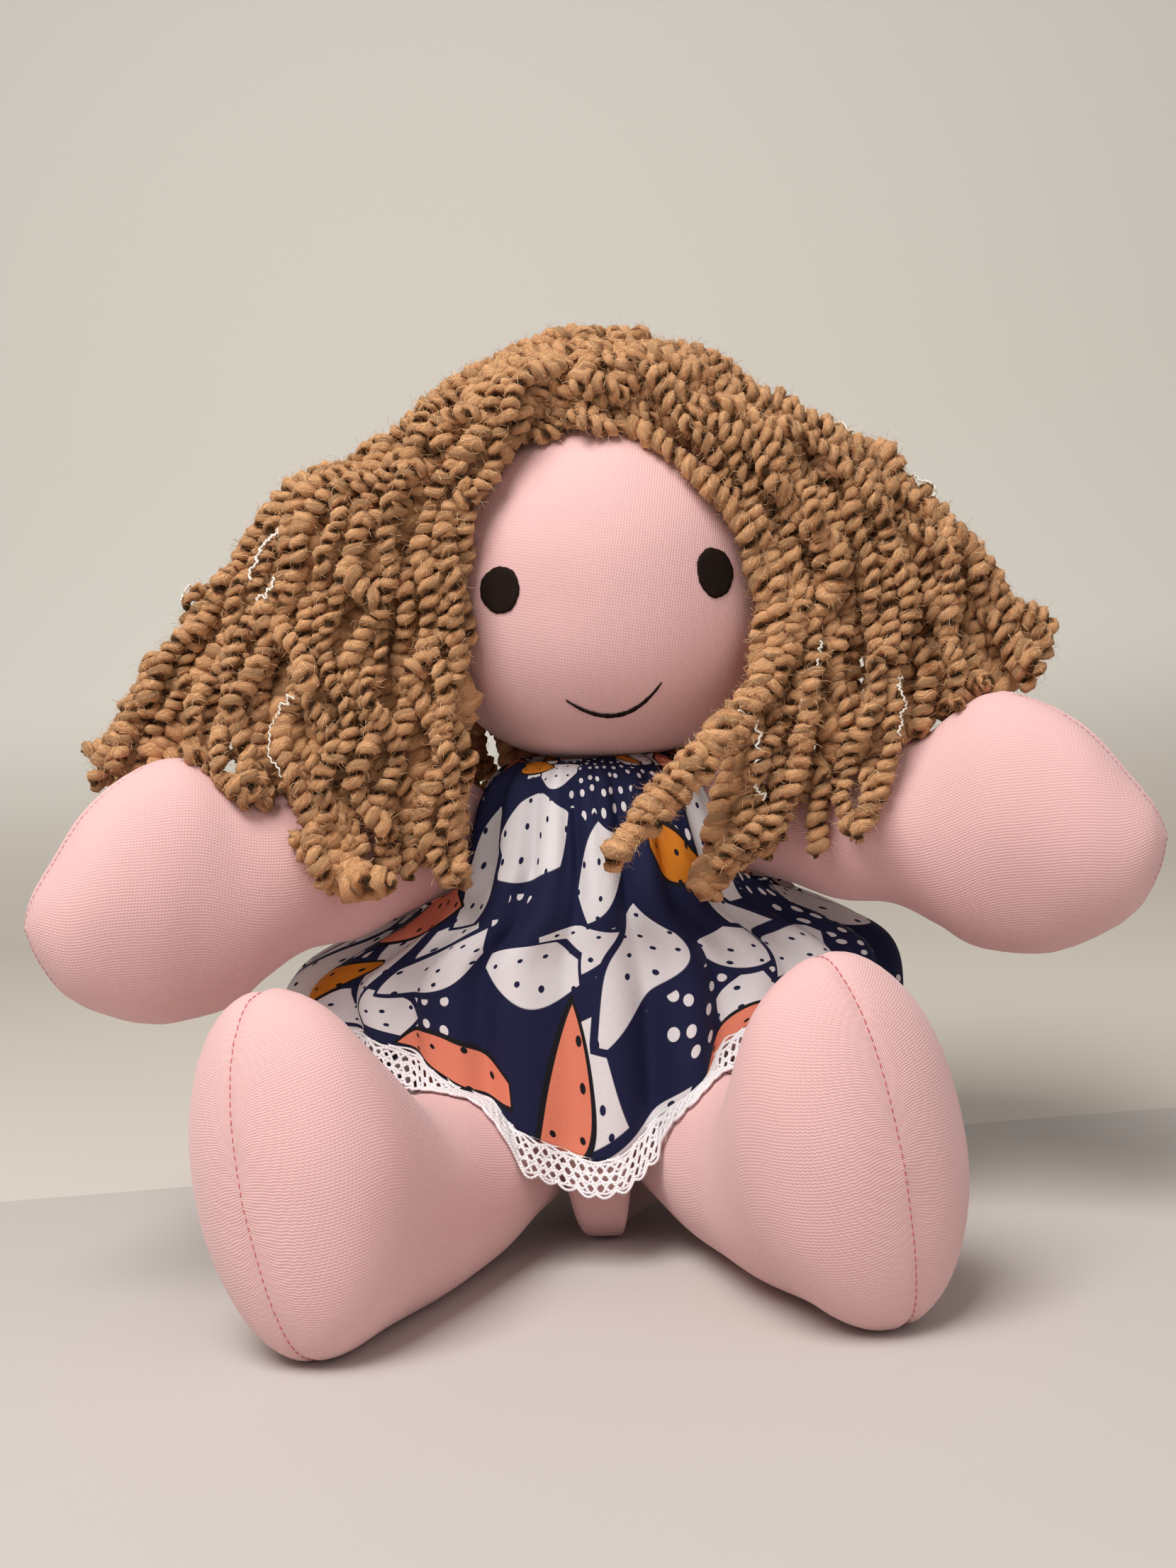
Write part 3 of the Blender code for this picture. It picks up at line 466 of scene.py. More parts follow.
@dataclass(frozen=True)
class BoucleYarn:
    """Golden-brown boucle: plump curls, with painted light on their crowns and painted shade between them."""

    # The crown colour is painted light on the curls' tops; the valley colour is painted shade between them.
    crown: Colour = (0.690, 0.375, 0.185)
    middle: Colour = (0.295, 0.110, 0.041)
    painted_valley_shade: Colour = (0.036, 0.010, 0.003)
    haze: Colour = (1.000, 0.700, 0.400)
    streaks: float = 6.5

    def material(self) -> bpy.types.Material:
        """Builds the material on the run, the turn and the height off the axis kept on the strands."""
        maker = MaterialMaker("boucle_yarn")
        run, around, knob = (maker.attribute(name) for name in ("run", "around", "knob"))
        turn = around * (2 * math.pi)
        wander = maker.noise(maker.place(), 240.0, 2.0)
        lean = turn + run * 260.0 + wander * 2.5
        spot = maker.join(lean.cosine() * self.streaks, lean.sine() * self.streaks, run * 230.0)
        fibres = maker.noise(spot, 1.0, 3.0)
        tint = maker.noise(maker.place(), 34.0, 2.0)
        # Painted light and shade: the height off the strand's axis lightens the curls' crowns and darkens the valleys;
        # the fibre streaks and tint are random tone.
        level = knob.step(0.58, 1.08) * 0.90 + (fibres - 0.5) * 0.9 + (tint - 0.5) * 0.5
        stops = [(0.0, self.painted_valley_shade), (0.45, self.middle), (1.0, self.crown)]
        colour = maker.value("ShaderNodeValToRGB", {"stops": stops}, {0: level.step(-0.15, 1.12)})
        gloss = {"Specular IOR Level": 0.1, "Sheen Weight": 0.4, "Sheen Roughness": 0.45}
        gloss["Sheen Tint"] = (*self.haze, 1.0)
        return maker.finish(colour, 0.92, fibres, 0.7 * MM, gloss)


@dataclass(frozen=True)
class LooseFibre:
    """Single fibres that stand off the yarn."""

    deep: Colour = (0.280, 0.110, 0.040)
    colour: Colour = (0.590, 0.315, 0.148)
    pale: Colour = (0.920, 0.640, 0.380)

    def material(self) -> bpy.types.Material:
        """Builds the material on each fibre's own tone and its height off the yarn's axis, which paints shade on fibres
        low between the curls and light on those on the crowns.
        """
        maker = MaterialMaker("loose_fibre")
        # Painted light and shade: fibres high on the curls are paler and fibres in the valleys darker; the tone is each
        # fibre's random own colour.
        level = maker.attribute("tone") * 0.7 + maker.attribute("knob").step(0.62, 1.10) * 0.5 - 0.1
        stops = [(0.0, self.deep), (0.5, self.colour), (1.0, self.pale)]
        colour = maker.value("ShaderNodeValToRGB", {"stops": stops}, {0: level})
        return maker.finish(colour, 0.65, constants={"Specular IOR Level": 0.2})


@dataclass(frozen=True)
class TextilePaint:
    """Very dark brown paint, broken a little by the knit under it."""

    colour: Colour = (0.0150, 0.0085, 0.0065)
    worn: Colour = (0.032, 0.018, 0.015)

    def material(self) -> bpy.types.Material:
        """Builds the material."""
        maker = MaterialMaker("textile_paint")
        grain = maker.noise(maker.place(), 1500.0, 3.0)
        colour = maker.mix(grain.step(0.52, 0.80), self.colour, self.worn)
        return maker.finish(colour, 0.85, grain, 0.15 * MM, {"Specular IOR Level": 0.08})


@dataclass(frozen=True)
class StudioFinish:
    """Matt floor up to the backdrop's line, and the pale backdrop beyond it, with painted shade darkening the backdrop
    towards its foot.
    """

    floor: Colour = (0.535, 0.490, 0.465)
    backdrop: Colour = (0.900, 0.865, 0.800)
    painted_shade: Colour = (0.640, 0.585, 0.525)
    painted_shade_height: float = 0.22
    line: float = 0.118

    def material(self) -> bpy.types.Material:
        """Builds the material."""
        maker = MaterialMaker("studio")
        _, back, high = maker.parts(maker.place())
        # Painted shade: the backdrop turns darker towards the floor, below a set height.
        wall = maker.mix(high.step(0.0, self.painted_shade_height), self.painted_shade, self.backdrop)
        colour = maker.mix(back.above(self.line), self.floor, wall)
        return maker.finish(colour, 0.95)


@dataclass
class Finishes:
    """All materials, built once."""

    knit: bpy.types.Material = field(default_factory=lambda: KnitFinish().material())
    leg_thread: bpy.types.Material = field(
        default_factory=lambda: SeamThread("rose_thread", (0.66, 0.135, 0.155)).material()
    )
    arm_thread: bpy.types.Material = field(
        default_factory=lambda: SeamThread("dusky_thread", (0.56, 0.20, 0.24)).material()
    )
    cotton: bpy.types.Material = field(default_factory=lambda: PrintedCotton().material())
    crochet: bpy.types.Material = field(default_factory=lambda: CrochetCotton().material())
    yarn: bpy.types.Material = field(default_factory=lambda: BoucleYarn().material())
    fibre: bpy.types.Material = field(default_factory=lambda: LooseFibre().material())
    binder: bpy.types.Material = field(
        default_factory=lambda: SeamThread("binder_thread", (0.93, 0.88, 0.78)).material()
    )
    paint: bpy.types.Material = field(default_factory=lambda: TextilePaint().material())
    studio: bpy.types.Material = field(default_factory=lambda: StudioFinish().material())


# Shapes in numbers


def catmull(points: Points, at: Points) -> Points:
    """A Catmull-Rom curve through rows of points.

    Args:
        points: one row for each point.
        at: places on the curve, counted in points from the first.

    Returns:
        One row for each place.
    """
    points = np.asarray(points, float)
    at = np.asarray(at, float)
    last = len(points) - 1
    k = np.clip(at.astype(int), 0, last - 1)
    t = (at - k)[:, None]
    b, s, e, a = (points[np.clip(k + step, 0, last)] for step in (-1, 0, 1, 2))
    return s + 0.5 * t * (e - b + t * (2 * b - 5 * s + 4 * e - a + t * (3 * (s - e) + a - b)))


def smooth(share: Points | float) -> Points:
    """A rise from 0 to 1 with level ends."""
    share = np.clip(share, 0.0, 1.0)
    return share * share * (3 - 2 * share)


def ripple(points: Points, wavelength: float, seed: int, waves: int = 7) -> Points:
    """A smooth random height from -1 to 1 at each point."""
    rng = np.random.default_rng(seed)
    total = np.zeros(len(points))
    for _ in range(waves):
        way = rng.normal(size=points.shape[1])
        way *= 2 * math.pi / (wavelength * rng.uniform(0.7, 1.6) * np.linalg.norm(way))
        total += np.sin(points @ way + rng.uniform(0, 2 * math.pi))
    return total / math.sqrt(waves) / 1.6


def unit(vectors: Points) -> Points:
    """Each row at length 1."""
    return vectors / np.maximum(np.linalg.norm(vectors, axis=-1, keepdims=True), 1e-12)


def turned(vector: Points, axis: Points, angle: float) -> Points:
    """A vector turned about an axis."""
    return np.array(Matrix.Rotation(angle, 3, Vector(axis)) @ Vector(vector))


def wrapped(turn: Points) -> Points:
    """Turns brought into half a turn either way of 0."""
    return np.remainder(turn + math.pi, 2 * math.pi) - math.pi


def lengths(path: Points) -> Points:
    """How far along a path each of its points lies."""
    return np.concatenate([[0.0], np.cumsum(np.linalg.norm(np.diff(path, axis=0), axis=1))])


def resampled(path: Points, run: Points, at: Points) -> Points:
    """Points at places along a path, whose own points lie at the run."""
    return np.stack([np.interp(at, run, path[:, k]) for k in range(3)], axis=1)


def wandering(steps: Points, wavelength: float, rng: np.random.Generator) -> Points:
    """A smooth random offset for each place along a path."""
    return np.stack([ripple(steps[:, None], wavelength, int(rng.integers(1 << 30))) for _ in range(3)], axis=1)


def spun(x: Points, z: Points, angle: float) -> Points:
    """Places on the face turned about its middle."""
    cos, sin = math.cos(angle), math.sin(angle)
    return np.stack([x * cos - z * sin, x * sin + z * cos], axis=1)


def linked(name: str, data: bpy.types.ID) -> bpy.types.Object:
    """A new object at the origin of the scene."""
    made = bpy.data.objects.new(name, data)
    bpy.context.scene.collection.objects.link(made)
    return made


def mesh_piece(
    name: str,
    points: Points,
    faces: Points | Sequence,
    material: bpy.types.Material,
    cloth: Points | None = None,
    weld: bool = True,
) -> bpy.types.Object:
    """A smooth-shaded object from points and faces.

    Args:
        name: the piece's name.
        points: rows of X, Y and Z.
        faces: rows of point numbers.
        material: its finish.
        cloth: for each point its place on the flat cloth, in metres.
        weld: merges points that coincide, as at a pole, and turns all faces outwards.

    Returns:
        The object, at the origin.
    """
    mesh = bpy.data.meshes.new(name)
    mesh.from_pydata(np.asarray(points).tolist(), [], faces.tolist() if isinstance(faces, np.ndarray) else faces)
    if cloth is not None:
        layer = mesh.uv_layers.new(name="cloth")
        corners = np.zeros(len(mesh.loops), np.int32)
        mesh.loops.foreach_get("vertex_index", corners)
        layer.data.foreach_set("uv", np.asarray(cloth, np.float32)[corners].ravel())
    if weld:
        bm = bmesh.new()
        bm.from_mesh(mesh)
        bmesh.ops.remove_doubles(bm, verts=bm.verts, dist=1e-6)
        bmesh.ops.dissolve_degenerate(bm, edges=bm.edges, dist=1e-7)
        bmesh.ops.recalc_face_normals(bm, faces=bm.faces)
        bm.to_mesh(mesh)
        bm.free()
    mesh.shade_smooth()
    mesh.materials.append(material)
    return linked(name, mesh)


def grid_faces(rows: int, columns: int, closed: bool = False, first: int = 0, flip: bool = False) -> Points:
    """Quads between rows of points, closed round when asked."""
    numbers = first + np.arange(rows * columns).reshape(rows, columns)
    if closed:
        numbers = np.hstack([numbers, numbers[:, :1]])
    quads = np.stack([numbers[:-1, :-1], numbers[:-1, 1:], numbers[1:, 1:], numbers[1:, :-1]], axis=-1)
    quads = quads.reshape(-1, 4)
    return quads[:, ::-1] if flip else quads


def grid_normals(grid: Points) -> Points:
    """Unit normals of a grid of points."""
    return unit(np.cross(np.gradient(grid, axis=0), np.gradient(grid, axis=1)))


def thick_sheet(
    name: str, grid: Points, thickness: float, material: bpy.types.Material, cloth: Points
) -> bpy.types.Object:
    """A closed sheet of cloth around a middle grid of points."""
    rows, columns, _ = grid.shape
    normals = grid_normals(grid)
    outer, inner = grid + normals * thickness / 2, grid - normals * thickness / 2
    count = rows * columns
    numbers = np.arange(count).reshape(rows, columns)
    rim = np.concatenate([numbers[0, :], numbers[1:, -1], numbers[-1, -2::-1], numbers[-2:0:-1, 0]])
    beyond = np.roll(rim, -1)
    walls = np.stack([rim, rim + count, beyond + count, beyond], axis=-1)
    faces = np.vstack([grid_faces(rows, columns), grid_faces(rows, columns, first=count, flip=True), walls])
    points = np.vstack([outer.reshape(-1, 3), inner.reshape(-1, 3)])
    flat = cloth.reshape(-1, 2)
    return mesh_piece(name, points, faces, material, np.vstack([flat, flat]))


# Geometry Nodes


@dataclass
class NodesTool:
    """A Geometry Nodes tree with named inputs, which turns one object into a finished mesh."""

    name: str
    inputs: dict[str, float | int]
    build: Callable[[NodeBuilder, dict[str, Value]], Value]
    tree: bpy.types.NodeTree = field(init=False)

    def __post_init__(self) -> None:
        """Builds the tree."""
        self.tree = bpy.data.node_groups.new(self.name, "GeometryNodeTree")
        face = self.tree.interface
        face.new_socket(name="Geometry", in_out="INPUT", socket_type="NodeSocketGeometry")
        for name, value in self.inputs.items():
            kind = "NodeSocketInt" if isinstance(value, int) else "NodeSocketFloat"
            made = face.new_socket(name=name, in_out="INPUT", socket_type=kind)
            made.default_value = value
        face.new_socket(name="Material", in_out="INPUT", socket_type="NodeSocketMaterial")
        face.new_socket(name="Geometry", in_out="OUTPUT", socket_type="NodeSocketGeometry")
        maker = NodeBuilder(self.tree)
        start = maker.node("NodeGroupInput")
        given = {socket.name: Value(maker, socket) for socket in start.outputs if socket.name}
        made = self.build(maker, given)
        made = maker.value("GeometryNodeRealizeInstances", None, {"Geometry": made})
        made = maker.value("GeometryNodeSetShadeSmooth", None, {"Geometry": made})
        made = maker.value(
            "GeometryNodeSetMaterial", None, {"Geometry": made, "Material": given["Material"]}
        )
        maker.node("NodeGroupOutput", None, {"Geometry": made})

    def apply(
        self, source: bpy.types.Object, name: str, material: bpy.types.Material, **sizes: float
    ) -> bpy.types.Object:
        """Runs the tree on an object.

        Args:
            source: the object to start from, which stays as it is.
            name: the new piece's name.
            material: its finish.
            sizes: values of the tree's inputs, with _ for a space in their names.

        Returns:
            The new piece, a plain mesh.
        """
        modifier = source.modifiers.new(self.name, "NODES")
        modifier.node_group = self.tree
        wanted = {key.replace("_", " "): value for key, value in sizes.items()} | {"Material": material}
        for item in self.tree.interface.items_tree:
            if item.item_type == "SOCKET" and item.in_out == "INPUT" and item.name in wanted:
                modifier[item.identifier] = wanted[item.name]
        source.update_tag()
        graph = bpy.context.evaluated_depsgraph_get()
        graph.update()
        mesh = bpy.data.meshes.new_from_object(source.evaluated_get(graph))
        source.modifiers.remove(modifier)
        mesh.name = name
        return linked(name, mesh)


def store(geometry: Value, name: str, kind: str, value: Value) -> Value:
    """Keeps a value on a geometry's points under a name."""
    settings = {"data_type": kind, "domain": "POINT"}
    sockets = {"Geometry": geometry, "Name": name, "Value": value}
    return geometry.builder.value("GeometryNodeStoreNamedAttribute", settings, sockets)


def stored(maker: NodeBuilder, name: str, kind: str = "FLOAT") -> Value:
    """A value kept on the points."""
    return maker.value("GeometryNodeInputNamedAttribute", {"data_type": kind}, {"Name": name})


def _measured_curve(maker: NodeBuilder, given: dict[str, Value]) -> Value:
    """Curves from the paths, evenly spaced, with each point's place and run kept on it."""
    curve = maker.value("GeometryNodeMeshToCurve", None, {"Mesh": given["Geometry"]})
    curve = maker.value(
        "GeometryNodeResampleCurve", {"mode": "LENGTH"}, {"Curve": curve, "Length": given["Spacing"]}
    )
    curve = store(curve, "axis", "FLOAT_VECTOR", maker.value("GeometryNodeInputPosition"))
    run = maker.value("GeometryNodeSplineParameter", output="Length")
    return store(curve, "run", "FLOAT", run)


def _swept(maker: NodeBuilder, given: dict[str, Value], curve: Value, radius: Value) -> Value:
    """A tube round the curves, with its turn kept on it."""
    ring = maker.value(
        "GeometryNodeCurvePrimitiveCircle", None, {"Resolution": given["Facets"], "Radius": 1.0}
    )
    factor = maker.value("GeometryNodeSplineParameter", output="Factor")
    ring = store(ring, "around", "FLOAT", factor)
    sockets = {"Curve": curve, "Profile Curve": ring, "Scale": radius, "Fill Caps": True}
    return maker.value("GeometryNodeCurveToMesh", None, sockets)


def _build_thread(maker: NodeBuilder, given: dict[str, Value]) -> Value:
    """Sweeps each path into a plain round thread."""
    curve = _measured_curve(maker, given)
    return _swept(maker, given, curve, stored(maker, "thick"))


def _build_curls(maker: NodeBuilder, given: dict[str, Value]) -> Value:
    """Winds a plump ply round each path, so that its coils stand out as curls on both sides."""
    uneven = given["Unevenness"]
    curve = _measured_curve(maker, given)
    axis, thick = stored(maker, "axis", "FLOAT_VECTOR"), stored(maker, "thick")
    slow = maker.noise(axis, 130.0, 1.0) - 0.5
    quick = maker.noise(axis, 310.0, 1.0) - 0.5
    turn = stored(maker, "run") / given["Coil Pitch"] * (2 * math.pi) + stored(maker, "phase")
    turn = turn + slow * uneven * 10.0 + quick * uneven * 2.5
    coil = thick * 0.48 * (1.0 + quick * uneven * 1.6)
    normal = maker.value("GeometryNodeInputNormal")
    tangent = maker.value("GeometryNodeInputTangent")
    aside = maker.vector("CROSS_PRODUCT", tangent, normal)
    scale = {"operation": "SCALE"}
    first = maker.value("ShaderNodeVectorMath", scale, {0: normal, "Scale": turn.cosine() * coil})
    second = maker.value("ShaderNodeVectorMath", scale, {0: aside, "Scale": turn.sine() * coil})
    offset = maker.vector("ADD", first, second)
    curve = maker.value("GeometryNodeSetPosition", None, {"Geometry": curve, "Offset": offset})
    curve = store(curve, "way", "FLOAT_VECTOR", maker.value("GeometryNodeInputTangent"))
    radius = thick * 0.62 * (1.0 + slow * uneven * 0.8 - quick * uneven * 0.6)
    tube = _swept(maker, given, curve, radius)
    place = maker.value("GeometryNodeInputPosition")
    lump = (maker.noise(place, 290.0, 1.0) - 0.5) * thick * uneven * 1.15
    push = maker.value("ShaderNodeVectorMath", scale, {0: maker.value("GeometryNodeInputNormal"), "Scale": lump})
    tube = maker.value("GeometryNodeSetPosition", None, {"Geometry": tube, "Offset": push})
    off_axis = maker.value(
        "ShaderNodeVectorMath",
        {"operation": "DISTANCE"},
        {0: maker.value("GeometryNodeInputPosition"), 1: stored(maker, "axis", "FLOAT_VECTOR")},
        "Value",
    )
    return store(tube, "knob", "FLOAT", off_axis / (stored(maker, "thick") + 0.1 * MM))


def _leaning(maker: NodeBuilder, placed: Value, low: Value | tuple, high: Value | tuple, seed: Value | int) -> Value:
    """Turns each placed copy by chance about its own axes."""
    sockets = {"Min": low, "Max": high, "Seed": seed}
    lean = maker.value("FunctionNodeRandomValue", {"data_type": "FLOAT_VECTOR"}, sockets)
    sockets = {"Instances": placed, "Rotation": lean, "Local Space": True}
    return maker.value("GeometryNodeRotateInstances", None, sockets)


def _planted(maker: NodeBuilder, given: dict[str, Value], fibre: Value, lie: bool) -> Value:
    """Plants a fibre one metre long on a surface, lying along the ply or standing off it."""
    knob = stored(maker, "knob")
    scatter = maker.node(
        "GeometryNodeDistributePointsOnFaces",
        None,
        {"Mesh": given["Geometry"], "Density": given["Density"] * knob.step(0.55, 0.95), "Seed": given["Seed"]},
    )
    points, normal, rotation = (Value(maker, scatter.outputs[name]) for name in ("Points", "Normal", "Rotation"))
    tone = maker.value("FunctionNodeRandomValue", {"data_type": "FLOAT"}, {"Seed": 11}, 1)
    points = store(points, "tone", "FLOAT", tone)
    if lie:
        rotation = maker.value(
            "FunctionNodeAxesToRotation",
            {"primary_axis": "Z", "secondary_axis": "X"},
            {0: normal, 1: stored(maker, "way", "FLOAT_VECTOR")},
        )
    size = maker.value(
        "FunctionNodeRandomValue",
        {"data_type": "FLOAT"},
        {"Min": given["Shortest"], "Max": given["Longest"], "Seed": 3},
        1,
    )
    planted = maker.value(
        "GeometryNodeInstanceOnPoints", None, {"Points": points, "Instance": fibre, "Rotation": rotation, "Scale": size}
    )
    loose = given["Looseness"]
    low = maker.join(loose * -0.3, loose * -0.3, loose * -1.0)
    return _leaning(maker, planted, low, maker.join(loose * 0.3, loose * 0.3, loose), 5)


def _bent_ribbon(maker: NodeBuilder, given: dict[str, Value], bend: Callable[[Value, Value], Value]) -> Value:
    """A flat fibre one metre long, bent by a function of the way along it and across it."""
    strip = maker.value(
        "GeometryNodeMeshGrid",
        None,
        {"Size X": 1.0, "Size Y": given["Fibre Share"], "Vertices X": 3, "Vertices Y": 2},
    )
    along, across, _ = maker.parts(maker.value("GeometryNodeInputPosition"))
    return maker.value("GeometryNodeSetPosition", None, {"Geometry": strip, "Position": bend(along, across)})


def _build_wrap(maker: NodeBuilder, given: dict[str, Value]) -> Value:
    """Lays fibres over the curls, along the ply."""

    def arch(along: Value, across: Value) -> Value:
        return maker.join(along, across + (along * 7.0).sine() * 0.03, 0.070 - along * along * 0.62)

    return _planted(maker, given, _bent_ribbon(maker, given, arch), True)


def _build_fuzz(maker: NodeBuilder, given: dict[str, Value]) -> Value:
    """Plants bent fibres that stand off a surface."""

    def curl(along: Value, across: Value) -> Value:
        share = along + 0.5
        high = share * 1.15 - share * share * 0.75 - 0.04
        return maker.join(share * share * 0.60, across + (share * 6.5).sine() * 0.16, high)

    return _planted(maker, given, _bent_ribbon(maker, given, curl), False)


def _build_stitches(maker: NodeBuilder, given: dict[str, Value]) -> Value:
    """Lays short stitches end to end along each path."""
    curve = maker.value("GeometryNodeMeshToCurve", None, {"Mesh": given["Geometry"]})
    points = maker.node(
        "GeometryNodeCurveToPoints", {"mode": "LENGTH"}, {"Curve": curve, "Length": given["Pitch"]}
    )
    bead = maker.value("GeometryNodeMeshUVSphere", None, {"Segments": 8, "Rings": 6, "Radius": 0.5})
    slim = maker.join(given["Thickness"], given["Thickness"], given["Length"])
    placed = maker.value(
        "GeometryNodeInstanceOnPoints",
        None,
        {
            "Points": Value(maker, points.outputs["Points"]),
            "Instance": bead,
            "Rotation": Value(maker, points.outputs["Rotation"]),
            "Scale": slim,
        },
    )
    return _leaning(maker, placed, (-0.16, -0.16, 0.0), (0.16, 0.16, 0.0), given["Seed"])


def _tool(name: str, build: Callable[[NodeBuilder, dict[str, Value]], Value], **inputs: float | int) -> NodesTool:
    """A dataclass field that builds a tree, with _ for a space in the names of its inputs."""
    named = {key.replace("_", " "): value for key, value in inputs.items()}
    return field(default_factory=lambda: NodesTool(name, named, build))


@dataclass
class Tools:
    """The Geometry Nodes trees that the sub-assemblies share."""

    thread: NodesTool = _tool("round_thread", _build_thread, Spacing=0.55 * MM, Facets=6)
    curls: NodesTool = _tool(
        "curled_yarn", _build_curls, Spacing=0.74 * MM, Facets=6, Coil_Pitch=5.0 * MM, Unevenness=0.68
    )
    fuzz: NodesTool = _tool(
        "standing_fibres",
        _build_fuzz,
        Density=50000.0,
        Seed=SEED,
        Fibre_Share=0.021,
        Shortest=1.6 * MM,
        Longest=5.2 * MM,
        Looseness=3.0,
    )
    wrap: NodesTool = _tool(
        "lying_fibres",
        _build_wrap,
        Density=50000.0,
        Seed=SEED + 1,
        Fibre_Share=0.025,
        Shortest=2.0 * MM,
        Longest=4.2 * MM,
        Looseness=0.75,
    )
    stitches: NodesTool = _tool(
        "run_of_stitches", _build_stitches, Pitch=2.3 * MM, Length=1.7 * MM, Thickness=0.4 * MM, Seed=SEED
    )


def path_object(
    name: str, paths: Sequence[Points], thick: Sequence[Points], phases: Sequence[float]
) -> bpy.types.Object:
    """An object of open paths for a Geometry Nodes tree.

    Args:
        name: the object's name.
        paths: rows of points for each path.
        thick: half the thickness at each of those points.
        phases: where each path's twist starts.

    Returns:
        The object, which is removed once the tree has run.
    """
    points = np.vstack(paths)
    starts = np.cumsum([0, *(len(path) for path in paths)])
    spans = [np.arange(a, b) for a, b in zip(starts, starts[1:])]
    edges = np.vstack([np.stack([span[:-1], span[1:]], axis=1) for span in spans])
    mesh = bpy.data.meshes.new(name)
    mesh.from_pydata(points.tolist(), edges.tolist(), [])
    layer = mesh.attributes.new("thick", "FLOAT", "POINT")
    layer.data.foreach_set("value", np.concatenate(thick).astype(np.float32))
    layer = mesh.attributes.new("phase", "FLOAT", "POINT")
    values = np.concatenate([np.full(len(path), phase) for path, phase in zip(paths, phases)])
    layer.data.foreach_set("value", values.astype(np.float32))
    return linked(name, mesh)


def discard(obj: bpy.types.Object) -> None:
    """Removes a helper object and its mesh."""
    mesh = obj.data
    bpy.data.objects.remove(obj)
    bpy.data.meshes.remove(mesh)


def report(piece: bpy.types.Object) -> None:
    """Logs a finished piece's size."""
    faces = np.zeros(len(piece.data.polygons), np.int32)
    piece.data.polygons.foreach_get("loop_total", faces)
    LOG.info("%s: %d triangles", piece.name, int((faces - 2).sum()))


def present(
    piece: bpy.types.Object, nodes: Sequence[str] = (), body: str | None = None
) -> None:
    """Hides the CAD nodes that a piece stands for, puts it on its body, and logs it."""
    if nodes:
        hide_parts(*nodes)
    if body:
        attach(piece, body)
    report(piece)


def closed_piece(
    name: str, grid: Points, material: bpy.types.Material, cloth: Points | None = None
) -> bpy.types.Object:
    """A piece from a grid of points that is closed round along its rows."""
    faces = grid_faces(*grid.shape[:2], closed=True)
    return mesh_piece(name, grid.reshape(-1, 3), faces, material, None if cloth is None else cloth.reshape(-1, 2))


# Stuffed forms


@dataclass
class Loft:
    """A stuffed form around a line: stations of along, top, bottom, half thickness and drift, in metres."""

    place: Points
    along: Points
    up: Points
    stations: Points

    def side(self) -> Points:
        """The way across the form."""
        return np.cross(self.up, self.along)

    def rings(self, count: int) -> Points:
        """Stations spread evenly from root to tip."""
        rows = catmull(self.stations, np.linspace(0, len(self.stations) - 1, count + 1))
        rows[0], rows[-1] = self.stations[0], self.stations[-1]
        return rows

    def clear(self, points: Points, gap: float) -> Points:
        """Lifts off the form the points that would lie in it or under its top."""
        rings = self.rings(160)
        run_table = np.maximum.accumulate(rings[:, 0])
        away = points - self.place
        run, lift, aside = away @ self.along, away @ self.up, away @ self.side()
        top, bottom, half, drift = (np.interp(run, run_table, rings[:, k]) for k in (1, 2, 3, 4))
        across = (aside - drift) / (half + gap)
        reach = ((top - bottom) / 2 + gap) * np.sqrt(np.clip(1 - across * across, 0, 1))
        surface, floor = (top + bottom) / 2 + reach, (top + bottom) / 2 - reach
        inside = (run > run_table[0]) & (run < run_table[-1]) & (np.abs(across) < 1)
        inside &= (lift < surface) & (lift > floor)
        return points + np.where(inside, surface - lift, 0.0)[:, None] * self.up


